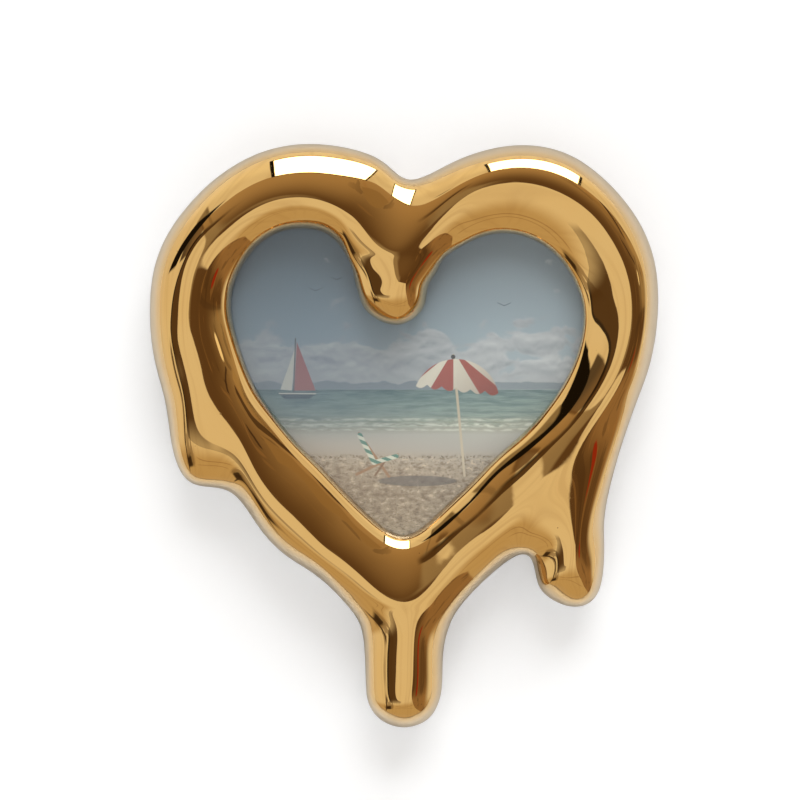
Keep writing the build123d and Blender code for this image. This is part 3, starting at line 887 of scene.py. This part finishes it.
def satin_gold():
    """The unpolished gold of the flat back and its recesses."""
    material, tree = new_finish("satin_gold")
    hand = placed(tree, HANDLING, size=22.0)
    pits = placed(tree, PITS, spacing=3.5, width=0.7)
    place = joined(*surface_place(tree))
    cast = mottle(place, 1.1, detail=4, roughness=0.6)
    colour = layered(
        (0.62, 0.40, 0.15),
        (mottle(place, 18.0, detail=4), (0.50, 0.30, 0.10)),
        (pits["Pits"] * 0.6, (0.20, 0.11, 0.04)),
    )
    return set_finish(
        material,
        base_color=colour,
        metallic=0.85,
        roughness=hand["Smears"] * 0.12 + cast * 0.15 + 0.30,
        normal=relief(cast + pits["Pits"] * -0.8, 0.10 * MM, 0.6),
    )


def clear_glass():
    """Clear picture glass that lets the lamps through to the print."""
    material, tree = new_finish("clear_glass")
    set_finish(
        material,
        base_color=(0.955, 0.975, 0.965),
        roughness=placed(tree, HANDLING, size=40.0)["Smears"] * 0.015,
        ior=1.5,
        transmission_weight=1.0,
    )
    lamps = ray(tree, "Shadow").most(ray(tree, "Diffuse"))
    return see_through(material, lamps, (0.94, 0.96, 0.95))


def zinc_steel(name, tint, roughness):
    """Zinc plated steel: a faint spangle, rubbed scratches and dull specks."""
    material, tree = new_finish(name)
    hand = placed(tree, HANDLING, size=9.0)
    pits = placed(tree, PITS, spacing=1.6, width=0.35)
    spangle = cells(joined(*surface_place(tree)), 1.8).rise(0.1, 0.9)
    colour = layered(
        tint,
        (spangle * 0.6 + hand["Smears"] * 0.4, tuple(part * 0.72 for part in tint)),
        (pits["Pits"] * 0.5, (0.22, 0.21, 0.20)),
    )
    return set_finish(
        material,
        base_color=colour,
        metallic=1.0,
        roughness=hand["Scratches"] * 0.15 + spangle * 0.10 + roughness,
        normal=relief(hand["Scratches"] * -1.0 + spangle, 0.02 * MM, 0.5),
    )


def fibre_board():
    """Brown hardboard with pressed fibres and darker flecks."""
    material, tree = new_finish("fibre_board")
    fibres = placed(tree, FIBRES, width=0.35)
    flecks = placed(tree, PITS, spacing=1.5, width=0.5)
    colour = layered(
        (0.20, 0.105, 0.05),
        (fibres["Height"].rise(0.4, 0.8), (0.33, 0.19, 0.095)),
        (flecks["Pits"] * 0.7, (0.09, 0.045, 0.022)),
    )
    return set_finish(
        material,
        base_color=scaled(colour, fibres["Tone"].spread(0.8, 1.2)),
        roughness=fibres["Height"] * 0.15 + 0.62,
        normal=relief(fibres["Height"], 0.08 * MM, 0.7),
    )


def grey_card():
    """Grey pulp card with pale and dark fibres."""
    material, tree = new_finish("grey_card")
    fibres = placed(tree, FIBRES, width=0.45)
    flecks = placed(tree, PITS, spacing=2.4, width=0.5)
    speck = laid_over(flecks["Shade"].rise(0.4, 0.6), (0.12, 0.11, 0.10), (0.62, 0.60, 0.55))
    colour = layered(
        (0.30, 0.285, 0.26),
        (fibres["Height"].rise(0.35, 0.85), (0.46, 0.44, 0.40)),
        (flecks["Pits"] * 0.8, speck),
    )
    return set_finish(
        material,
        base_color=colour,
        roughness=fibres["Height"] * 0.1 + 0.82,
        normal=relief(fibres["Height"], 0.06 * MM, 0.6),
    )


def black_felt():
    """Pressed black felt with a soft nap and a little lint."""
    material, tree = new_finish("black_felt")
    fibres = placed(tree, FIBRES, width=0.22)
    lint = placed(tree, PITS, spacing=7.0, width=0.5)
    colour = layered(
        (0.012, 0.012, 0.013),
        (fibres["Height"].rise(0.4, 0.85), (0.050, 0.050, 0.054)),
        (lint["Pits"] * 0.5, (0.22, 0.22, 0.22)),
    )
    return set_finish(
        material,
        base_color=scaled(colour, fibres["Tone"].spread(0.75, 1.3)),
        roughness=0.95,
        sheen_weight=0.5,
        sheen_roughness=0.5,
        normal=relief(fibres["Height"], 0.15 * MM, 1.0),
    )


def soft_rubber():
    """Pale grey soft bumper rubber, a little dusty."""
    material, tree = new_finish("soft_rubber")
    hand = placed(tree, HANDLING, size=6.0)
    dust = placed(tree, PITS, spacing=1.2, width=0.25)
    colour = layered(
        (0.52, 0.53, 0.54),
        (hand["Smears"], (0.43, 0.44, 0.45)),
        (dust["Pits"] * 0.6, (0.75, 0.74, 0.72)),
    )
    return set_finish(
        material,
        base_color=colour,
        roughness=hand["Smears"] * 0.15 + 0.42,
        normal=relief(dust["Pits"], 0.03 * MM, 0.5),
    )


# The print's picture, in millimetres from the hanger's hole


HORIZON = -66.6
SHORE = -82.5
DEBRIS_LINE = -94.0
LOWEST = -128.0
CLOUD_TOPS = (-54.0, -30.0)

SKY_AND_BEACH = [
    (-128.0, ink(184, 166, 142)),
    (-120.0, ink(162, 141, 116)),
    (-108.0, ink(152, 131, 108)),
    (-98.0, ink(166, 147, 126)),
    (-94.0, ink(170, 155, 138)),
    (-91.0, ink(168, 159, 150)),
    (-85.0, ink(172, 167, 158)),
    (-82.5, ink(158, 153, 136)),
    (-80.0, ink(140, 140, 120)),
    (-77.0, ink(118, 131, 123)),
    (-72.0, ink(97, 117, 113)),
    (-68.0, ink(74, 98, 99)),
    (-66.7, ink(64, 85, 89)),
    (-66.5, ink(150, 158, 163)),
    (-56.0, ink(148, 158, 166)),
    (-44.0, ink(140, 153, 163)),
    (-30.0, ink(127, 139, 149)),
    (-16.0, ink(112, 123, 132)),
    (-3.0, ink(98, 107, 114)),
]

# How high each line of foam lies, how wide it is and how strong
FOAM_LINES = ((SHORE + 3.6, 0.35, 0.55), (SHORE + 1.5, 0.5, 0.8), (SHORE - 0.4, 0.3, 0.6))

# Where the gulls are and how far each wing reaches
GULLS = (((-36.0, -27.0), 3.0), ((-27.5, -22.5), 2.3), ((40.0, -33.0), 2.6))


def half_plane(x, z, start, end):
    """Signed distance from a line. It is negative on the left of the way from start to end."""
    along = unit(np.subtract(end, start))
    across, up = float(along[1]), float(-along[0])
    offset = -(across * start[0] + up * start[1])
    return x.math("MULTIPLY_ADD", across, z.math("MULTIPLY_ADD", up, offset))


def polygon(x, z, *corners):
    """Signed distance from a convex shape whose corners run anticlockwise."""
    distance = None
    for start, end in zip(corners, corners[1:] + corners[:1]):
        side = half_plane(x, z, start, end)
        distance = side if distance is None else distance.most(side)
    return distance


def disc(x, z, middle, radius, squash=1.0):
    """Signed distance from a round or flattened spot."""
    return length(x - middle[0], (z - middle[1]) * squash) - radius


def stroke(x, z, start, end, radius):
    """Signed distance from a round-ended line."""
    reach = (end[0] - start[0], end[1] - start[1])
    square = reach[0] ** 2 + reach[1] ** 2
    across, up = x - start[0], z - start[1]
    rest = up * (reach[1] / square)
    share = across.math("MULTIPLY_ADD", reach[0] / square, rest, clamp=True)
    off_x = share.math("MULTIPLY_ADD", -reach[0], across)
    off_z = share.math("MULTIPLY_ADD", -reach[1], up)
    return length(off_x, off_z) - radius


def filled(distance, soft=0.18):
    """1 inside a shape and 0 outside it."""
    return distance.rise(soft, -soft)


def blotches(x, z, width, height=None, layer=0.0, **kind):
    """Noise whose blotches have a width and a height. Without a height they run up and down."""
    return mottle(joined(x / width, layer, z / height if height else 0.0), **kind)


def painted_sky(picture, x, z):
    """Heaped clouds over low hills."""
    heaped = {"detail": 9, "roughness": 0.58, "distortion": 0.25}
    puffs = blotches(x, z, 17.0, 10.0, **heaped)
    lower = blotches(x, z - 1.8, 17.0, 10.0, **heaped)
    top = blotches(x, z, 30.0, layer=3.0, detail=1).spread(*CLOUD_TOPS)
    above_sea = z.rise(HORIZON - 0.1, HORIZON + 0.1)
    cover = (puffs + (z - top).rise(5.0, -9.0) * 0.26).rise(0.62, 0.70) * above_sea
    lit = (lower - puffs).spread(0.45, 3.2).least(1.0).most(0.0)
    haze = z.rise(HORIZON + 11.0, HORIZON + 1.0) * above_sea
    ridge = blotches(x, z, 13.0, layer=9.0, detail=5, roughness=0.45)
    hills = (z - ridge.spread(HORIZON - 1.5, HORIZON + 7.0)).rise(0.2, -0.2) * above_sea
    return layered(
        picture,
        (cover * 0.9, laid_over(lit, ink(140, 143, 150), ink(190, 190, 191))),
        (haze * 0.55, ink(158, 160, 164)),
        (hills * 0.85, ink(120, 129, 137)),
    )


def painted_sea(picture, x, z):
    """Ripples, breaking foam and the wet edge of the sand."""
    at_sea = z.rise(HORIZON, HORIZON - 0.3) * z.rise(SHORE - 1.0, SHORE + 1.0)
    fine = blotches(x, z, 5.0, 0.5, detail=4, roughness=0.6)
    broad = blotches(x, z, 16.0, 1.5, 4.0, detail=3)
    ripples = (fine * 0.6 + broad * 0.5).rise(0.42, 0.72)
    picture = layered(
        picture,
        (at_sea * ripples * 0.32, ink(168, 184, 178)),
        (at_sea * broad.rise(0.5, 0.3) * 0.35, ink(74, 104, 106)),
    )
    wander = blotches(x, z, 22.0, layer=5.0, detail=3)
    for level, width, strength in FOAM_LINES:
        off = abs(z - wander.spread(level - 1.6, level + 1.6))
        patchy = blotches(x, z, 4.0, 1.2, level, detail=4).rise(0.40, 0.62)
        foam = off.rise(width * 2.5, width * 0.4) * patchy
        picture = laid_over(foam * strength, picture, ink(206, 206, 196))
    return picture


def painted_sand(picture, x, z):
    """Speckled sand with scuffs, shells and a line of dry weed."""
    dry = z.rise(DEBRIS_LINE + 2.0, DEBRIS_LINE - 1.0)
    place = joined(x, 0.0, z * 1.8)
    scuffs = mottle(place, 3.2, detail=6, roughness=0.62)
    grain = mottle(place, 0.7, detail=3, roughness=0.7)
    shells = cells(joined(x, 0.0, z * 1.6), 2.2)
    drift = blotches(x, z, 9.0, layer=2.0).spread(DEBRIS_LINE - 1.5, DEBRIS_LINE + 1.5)
    weed = abs(z - drift).rise(0.9, 0.2) * mottle(joined(x, 0.0, z), 1.1, detail=3).rise(0.5, 0.6)
    return layered(
        picture,
        (dry * scuffs.rise(0.50, 0.38) * 0.7, ink(112, 92, 72)),
        (dry * scuffs.rise(0.53, 0.66) * 0.7, ink(206, 188, 164)),
        (dry * grain.rise(0.45, 0.34) * 0.75, ink(78, 62, 50)),
        (dry * shells.rise(0.24, 0.14) * 0.6, ink(88, 70, 54)),
        (weed * 0.75, ink(92, 76, 62)),
    )


def painted_gulls(picture, x, z):
    """Three gulls over the water."""
    for middle, span in GULLS:
        for side in (-1, 1):
            tip = (middle[0] + side * span, middle[1] + span * 0.45)
            wing = filled(stroke(x, z, middle, tip, 0.16), 0.14)
            picture = laid_over(wing * 0.7, picture, ink(66, 72, 78))
    return picture


def painted_boat(picture, x, z):
    """A small sailing boat out on the water."""
    mainsail = filled(polygon(x, z, (-44.6, -67.2), (-36.0, -67.2), (-43.6, -47.5)))
    jib = filled(polygon(x, z, (-50.2, -66.8), (-45.6, -67.2), (-44.4, -50.5)))
    seams = abs((z - x * 0.2).math("FRACT") - 0.5).rise(0.03, 0.0)
    mast = filled(stroke(x, z, (-44.9, -69.0), (-44.1, -46.2), 0.22))
    hull = polygon(x, z, (-48.6, -70.6), (-38.6, -70.6), (-35.4, -68.0), (-51.2, -67.9))
    stripe = polygon(x, z, (-50.6, -68.6), (-36.0, -68.7), (-35.6, -68.2), (-51.0, -68.1))
    shimmer = blotches(x, z, 3.0, 0.35, 1.0, detail=3).rise(0.45, 0.6)
    wake = filled(disc(x, z, (-43.0, -72.2), 7.5, squash=3.6), 0.8)
    return layered(
        picture,
        (mainsail, ink(158, 88, 78)),
        (jib, ink(203, 198, 188)),
        (mainsail * seams * 0.25, ink(96, 52, 46)),
        (mast, ink(78, 66, 58)),
        (filled(hull), ink(60, 68, 76)),
        (filled(stripe, 0.1), ink(200, 194, 182)),
        (wake * shimmer * 0.55, ink(72, 92, 96)),
    )


def painted_parasol(picture, x, z):
    """A striped parasol stuck in the sand, with its shadow."""
    foot, top = (24.0, -101.5), (19.5, -53.0)
    shadow = filled(disc(x, z, (5.0, -103.6), 16.0, squash=7.5), 1.0)
    canopy = disc(x, z, (20.6, -72.0), 17.5)
    scallops = abs(((x - 20.6) * 0.54).math("SINE")) * -1.6
    hem = half_plane(x, z, (-20.0, -61.8), (60.0, -70.2)) + scallops
    slope = (x - top[0]) / (z * -1.0 + top[1] + 2.0)
    stripes = (slope * 5.2).math("SINE").rise(-0.12, 0.12)
    shade = (x * 0.035 + z * -0.03 - 2.2).spread(0.0, 0.5).least(0.5).most(0.0)
    cloth = layered(ink(162, 84, 74), (stripes, ink(214, 205, 190)), (shade, ink(92, 60, 58)))
    return layered(
        picture,
        (shadow * 0.72, ink(88, 82, 80)),
        (filled(stroke(x, z, foot, top, 0.5)), ink(186, 172, 150)),
        (filled(canopy.most(hem)), cloth),
        (filled(disc(x, z, (19.4, -53.6), 0.9)), ink(64, 60, 60)),
    )


def painted_deck_chair(picture, x, z):
    """A folding deck chair with a striped sling."""
    wood, shaded_wood = ink(150, 112, 82), ink(120, 88, 64)
    bands = (z * 2.2 + x * 0.9).math("SINE").rise(-0.2, 0.2)
    back = filled(stroke(x, z, (-18.2, -85.2), (-12.4, -96.2), 1.0))
    seat = filled(stroke(x, z, (-12.4, -96.2), (-3.4, -93.6), 0.9))
    return layered(
        picture,
        (filled(stroke(x, z, (-19.5, -101.0), (-3.0, -93.0), 0.55)), wood),
        (filled(stroke(x, z, (-6.5, -101.8), (-18.5, -84.5), 0.55)), wood),
        (filled(stroke(x, z, (-12.0, -101.4), (-8.0, -95.6), 0.4)), shaded_wood),
        (back.most(seat), laid_over(bands, ink(74, 122, 110), ink(196, 196, 182))),
    )


PAINTED = (
    painted_sky,
    painted_sea,
    painted_sand,
    painted_gulls,
    painted_boat,
    painted_parasol,
    painted_deck_chair,
)


def printed_seaside():
    """The printed picture: sky, hills, sea, sand, a boat, a parasol and a deck chair."""
    material, tree = new_finish("printed_seaside")
    x, y, z = surface_place(tree)
    stops = [((height - LOWEST) / -LOWEST, colour) for height, colour in SKY_AND_BEACH]
    picture = ramp((z - LOWEST) / -LOWEST, stops)
    # painted reflection: a pale veil laid over the picture, stronger towards the right, as the
    # glass reflects the bright studio
    painted_veil_right = (x * 0.5 + z * 0.2).rise(-45.0, 30.0)
    picture = laid_over(painted_veil_right * 0.18, picture, ink(168, 176, 182))
    for paint in PAINTED:
        picture = paint(picture, x, z)
    # painted shade: the picture darkens towards the left, bluish higher up and brownish lower down
    painted_shade_left = x.rise(45.0, -45.0)
    picture = layered(
        picture,
        (painted_shade_left * z.rise(-92.0, -80.0) * 0.55, ink(52, 72, 92)),
        (painted_shade_left * z.rise(-80.0, -92.0) * 0.2, ink(118, 88, 58)),
    )
    grain = mottle(joined(x, 0.0, z), 0.35)
    face = PRINT_FRONT / MM
    printed = y.rise(-face + 0.12, -face + 0.06)
    pulp = mottle(joined(x, y, z), 2.5, detail=5)
    paper = laid_over(pulp, ink(222, 221, 216), ink(212, 210, 204))
    return set_finish(
        material,
        base_color=laid_over(printed, paper, scaled(picture, grain.spread(1.36, 1.40))),
        roughness=grain * 0.05 + 0.45,
        normal=relief(grain, 0.002 * MM, 0.15),
    )


# The studio


STAGE_PAINT = (0.79, 0.80, 0.812)
STAGE_LIFT = 0.30
STAGE_CORNERS = ((-2.0, -2.0), (2.0, -2.0), (2.0, 2.0), (-2.0, 2.0))
HOLE_MARGIN = 2 * MM
FLOOR_DROP = 0.45


def white_stage(name, node, output):
    """A pale matt stage finish that reads as white to the eye and keeps its shadows.

    It lets light through where the shader node's output is 1.
    """
    material, tree = new_finish(name)
    seen = ray(tree, "Camera").most(ray(tree, "Transmission"))
    set_finish(
        material,
        base_color=STAGE_PAINT,
        roughness=1.0,
        specular_ior_level=0.0,
        emission_color=(1.0, 1.0, 1.0),
        emission_strength=seen * STAGE_LIFT,
    )
    return see_through(material, from_node(tree, node, output=output))


def stage_object(name, mesh, material):
    mesh.materials.append(material)
    loose_object(name, mesh)


def wall(skin):
    """The white wall, open behind the frame so that the frame's back has light."""
    places = vertex_vectors(skin, "co")
    base = max(rim_loops(skin), key=lambda loop: -abs(places[loop[0]][1]))
    outline = places[base][:, [0, 2]]
    ahead = np.roll(outline, -1, axis=0) - np.roll(outline, 1, axis=0)
    inward = np.stack([-ahead[:, 1], ahead[:, 0]], axis=1)
    inward /= np.linalg.norm(inward, axis=1)[:, None]
    x, z = outline.T
    around = np.sum(x * np.roll(z, -1) - np.roll(x, -1) * z)
    outline = outline + math.copysign(HOLE_MARGIN, around) * inward
    bm = bmesh.new()
    for points in (outline, STAGE_CORNERS):
        ring = [bm.verts.new(Vector(spot(point, -PAD_THICKNESS - HAIR_GAP))) for point in points]
        for i, vert in enumerate(ring):
            bm.edges.new((vert, ring[(i + 1) % len(ring)]))
    bmesh.ops.triangle_fill(bm, use_beauty=True, edges=bm.edges[:], normal=(0, -1, 0))
    for face in bm.faces:
        if face.normal.y > 0:
            face.normal_flip()
    paint = white_stage("wall_paint", "NewGeometry", "Backfacing")
    stage_object("wall", mesh_of(bm, "wall"), paint)


def floor():
    """A plain pale floor well below the frame."""
    mesh = bpy.data.meshes.new("floor")
    mesh.from_pydata([(x, y, -FLOOR_DROP) for x, y in STAGE_CORNERS], [], [(0, 1, 2, 3)])
    paint = white_stage("floor_paint", "LightPath", "Is Glossy Ray")
    stage_object("floor", mesh, paint)


# Light and dark parts of the studio, by how far they are from straight in front of the
# frame: degrees to the right and degrees up, as a mirror ball shows them.

SOFTBOX_LIGHT = 6.0
WHITE = (1.0, 1.0, 1.0)
LIGHT_PANEL = (0.79, 0.77, 0.74)
LOW_PANEL = (0.56, 0.47, 0.34)
WHITE_CEILING = (0.92, 0.91, 0.88)
GREY_FLOOR = (0.32, 0.32, 0.32)
DARK_ROOM = (0.118, 0.072, 0.040)
LIT_ROOM = (0.42, 0.31, 0.20)
WOOD = (0.30, 0.20, 0.12)
DARK_WOOD = (0.06, 0.035, 0.02)
DARK_EDGE = (0.05, 0.03, 0.02)
LAMP = (1.0, 0.95, 0.85)
RED_CLOTH = (0.30, 0.035, 0.015)
BLACK = (0.010, 0.008, 0.006)

# The middle of each shelf, half its width, half its height and its colour
SHELVES = [
    ((27.0, 25.0), 4.5, 6.0, (0.30, 0.21, 0.12)),
    ((37.0, 30.0), 2.4, 9.0, DARK_WOOD),
    ((47.0, 24.0), 5.0, 4.0, (0.40, 0.30, 0.18)),
    ((33.0, 14.0), 9.0, 0.7, DARK_EDGE),
    ((52.0, 44.0), 7.0, 3.0, (0.30, 0.22, 0.12)),
]

# The softbox overhead: from where to where to the right and forwards, for each unit upwards,
# and how wide its black edge is
SOFTBOX_ACROSS = (-0.28, 0.65)
SOFTBOX_AHEAD = (0.27, 1.11)
SOFTBOX_EDGE = 0.035


def studio_panels(right, up):
    """Bright panels on the left and behind, dull ones low down and far to the right."""
    fold = abs(up - right * right * 0.006 + 40.0).rise(0.9, 0.4)
    seam = abs(up + right * 0.05 + 45.0).rise(0.8, 0.3)
    streaks = mottle(joined(right / 9.0, up / 60.0, 0.0), detail=3).rise(0.45, 0.7)
    return layered(
        LIGHT_PANEL,
        (up.rise(-20.0, -36.0), LOW_PANEL),
        (up.rise(46.0, 60.0), WHITE_CEILING),
        (fold.most(seam) * right.between(-34.0, 34.0, 4.0) * 0.6, WOOD),
        (streaks * 0.18, WOOD),
    )


def studio_room(light, right, up, below_softbox):
    """The dark room in front, above a bent edge that runs from upper left to lower right."""
    bend = (right * -1.0 - 3.0).most(right * -0.36 - (right - 21.0).most(0.0) * 1.5)
    above = up - bend
    inside = above.rise(-0.7, 0.5) * below_softbox
    inside = inside * (right - (up - 14.0).most(0.0) * 0.9).rise(82.0, 68.0)
    aside = right.rise(10.0, 24.0)
    furniture = mottle(joined(right / 9.0, up / 20.0, 0.0), detail=3)
    room = layered(
        DARK_ROOM,
        (up.rise(2.0, 40.0), LIT_ROOM),
        (up.rise(-6.0, -24.0) * right.rise(8.0, 30.0), WOOD),
        (right.rise(30.0, 62.0) * up.rise(-2.0, 6.0) * 0.5, LOW_PANEL),
        (furniture.rise(0.57, 0.60) * aside * 0.4, DARK_WOOD),
        (furniture.rise(0.42, 0.39) * aside * 0.35, (0.38, 0.24, 0.13)),
    )
    for (across, height), half_width, half_height, colour in SHELVES:
        shelf = right.between(across - half_width, across + half_width, 0.3)
        shelf = shelf * up.between(height - half_height, height + half_height, 0.3)
        room = laid_over(shelf * 0.85, room, colour)
    half_lit = above.rise(9.0, 5.0) * right.between(-24.0, -2.0, 3.0)
    ledge = abs(up - right * 0.05 + 2.0).rise(1.6, 0.6) * right.rise(16.0, 22.0)
    red = (right - 41.0) * (right - 41.0) * 1.6 + (up + 12.0) * (up + 12.0) * 0.4
    lamp = (right - 44.0) * (right - 44.0) + (up - 10.0) * (up - 10.0)
    blinds = (right * 0.9 + up * 0.2).math("FRACT").rise(0.5, 0.6)
    blinds = blinds * right.between(37.0, 58.0, 2.0) * up.between(27.0, 40.0, 2.0)
    room = layered(
        room,
        (half_lit * 0.75, (0.36, 0.31, 0.25)),
        (ledge * 0.3, DARK_EDGE),
        (red.rise(14.0, 6.0), RED_CLOTH),
        (lamp.rise(7.0, 3.0), LAMP),
        (blinds * 0.7, BLACK),
    )
    return laid_over(inside, light, room)


def studio_stands(light, right, up):
    """A curved dark stand, a black flag, a dark cloth and some shadows on the left."""
    corner = right.between(-64.0, -40.0, 3.0) * up.between(-46.0, -8.0, 4.0)
    shade = mottle(joined(right / 6.0, up / 26.0, 7.0)).rise(0.56, 0.53)
    hanging = right.between(-60.0, -46.0, 2.0) * (up - right * 0.3).between(-33.0, -17.0, 3.0)
    post = abs(right + 57.0 - up * 0.06).rise(1.8, 1.2)
    post = post * up.rise(-8.0, -14.0) * up.rise(-66.0, -54.0)
    diagonal = up + right
    cloth = right.between(-47.0, -30.0, 0.6) * up.between(17.0, 39.0, 0.8)
    cloth = cloth * (diagonal + 2.0).rise(0.8, -0.4)
    cloth_colour = laid_over(right.rise(-44.0, -34.0), (0.05, 0.03, 0.018), (0.15, 0.092, 0.05))
    far_edge = abs(diagonal + 1.0).rise(5.0, 4.0) * right.between(-47.0, -38.0, 2.0)
    rail = abs(diagonal - 2.6).rise(0.9, 0.4) * right.between(-44.0, -24.0, 2.0)
    ring = length(right + 15.0, up - 5.0) - 25.6
    outer = up.rise(16.0, -3.0).spread(0.0, 16.0) * up.rise(-26.0, -20.0)
    inner = up.rise(-6.0, 6.0).spread(-1.5, -8.0)
    stand = (ring - outer).rise(0.4, -0.4) * (ring - inner).rise(-0.4, 0.4)
    stand = stand * right.rise(-14.0, -20.0) * up.rise(28.0, 24.0)
    rim = (ring - outer + 3.0).rise(-1.0, 1.0)
    stand_colour = laid_over(rim, (0.085, 0.050, 0.024), (0.025, 0.016, 0.010))
    flag = abs(right - up * 0.95 + 77.0).rise(8.6, 7.4) * up.between(17.0, 41.0, 1.0)
    return layered(
        light,
        (corner * shade * 0.6, (0.14, 0.088, 0.05)),
        (hanging * 0.95, (0.035, 0.021, 0.012)),
        (post * 0.9, (0.05, 0.032, 0.02)),
        (cloth * 0.92, cloth_colour),
        (far_edge * 0.8, (0.16, 0.115, 0.06)),
        (rail * 0.3, (0.04, 0.025, 0.015)),
        (stand * up.rise(-24.0, -12.0).spread(0.4, 0.98), stand_colour),
        (flag, BLACK),
    )


def softbox_face(across, ahead, z, edge, soft):
    """1 on the softbox and its edge."""
    wide = across.between(SOFTBOX_ACROSS[0] - edge, SOFTBOX_ACROSS[1] + edge, soft)
    deep = ahead.between(SOFTBOX_AHEAD[0] - edge, SOFTBOX_AHEAD[1] + edge, soft)
    return wide * deep * z.rise(0.0, 0.02)


def studio_light():
    """Panels, a dark room, stands and a softbox overhead, seen only in reflections."""
    world = bpy.data.worlds.new("studio")
    bpy.context.scene.world = world
    world.use_nodes = True
    tree = world.node_tree
    x, y, z = parted(from_node(tree, "TexCoord", output="Generated"))
    forward = y * -1.0
    tilt = forward.math("ARCCOSINE") * math.degrees(1)
    off_axis = length(x, z).most(0.0001)
    right, up = tilt * x / off_axis, tilt * z / off_axis
    upward = z.most(0.001)
    across, ahead = x / upward, forward / upward
    softbox = softbox_face(across, ahead, z, 0.0, 0.006)
    seen = ray(tree, "Camera").most(ray(tree, "Transmission"))

    light = studio_panels(right, up)
    light = studio_room(light, right, up, (forward - z * 1.12).rise(-0.01, 0.01))
    light = studio_stands(light, right, up)
    light = layered(
        light,
        (softbox_face(across, ahead, z, SOFTBOX_EDGE, 0.004), BLACK),
        (y.rise(0.0, 0.3), laid_over(z.rise(-0.6, 0.8), GREY_FLOOR, WHITE_CEILING)),
        (softbox, WHITE),
        (seen, WHITE),
    )
    background = tree.nodes["Background"]
    feed(background.inputs["Color"], light)
    strength = softbox.spread(1.0, SOFTBOX_LIGHT) * seen.flipped() + seen
    feed(background.inputs["Strength"], strength)


def camera():
    """Straight in front, as the photograph was taken."""
    data = bpy.data.cameras.new("camera")
    data.sensor_width = SENSOR_WIDTH
    data.lens = SENSOR_WIDTH * CAMERA_DISTANCE / IMAGE_WIDTH
    data.clip_end = 100
    eye = bpy.data.objects.new("camera", data)
    eye.location = (IMAGE_MIDDLE_X, -EQUATOR_DEPTH - CAMERA_DISTANCE, IMAGE_MIDDLE_Z)
    eye.rotation_euler = (math.radians(90), 0, 0)
    bpy.context.scene.collection.objects.link(eye)
    bpy.context.scene.camera = eye


def dress_node(node, material):
    """Gives a node of the construction its finish."""
    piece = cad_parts[node]
    piece.data.materials.clear()
    piece.data.materials.append(material)


camera()
skin = smooth_skin(SKIN_LEVELS)
waver(skin, SWELLS)
melted_gold(skin)
heart_pane()
seaside_print()
plate_steel = zinc_steel("plate_steel", BLUE_ZINC, 0.24)
screw_steel = zinc_steel("screw_steel", YELLOW_ZINC, 0.22)
dress_node("backing_card", grey_card())
dress_node("back_board", fibre_board())
dress_node("board_felt", black_felt())
dress_node("hanger_plate", plate_steel)
dress_node("hanger_screws", screw_steel)
dress_node("turn_button_screws", screw_steel)
dress_node("wall_pads", soft_rubber())
for number in range(1, 5):
    dress_node(f"turn_button_{number}", plate_steel)
wall(skin)
floor()
bpy.data.meshes.remove(skin)
studio_light()
bpy.context.scene.view_settings.view_transform = "Standard"

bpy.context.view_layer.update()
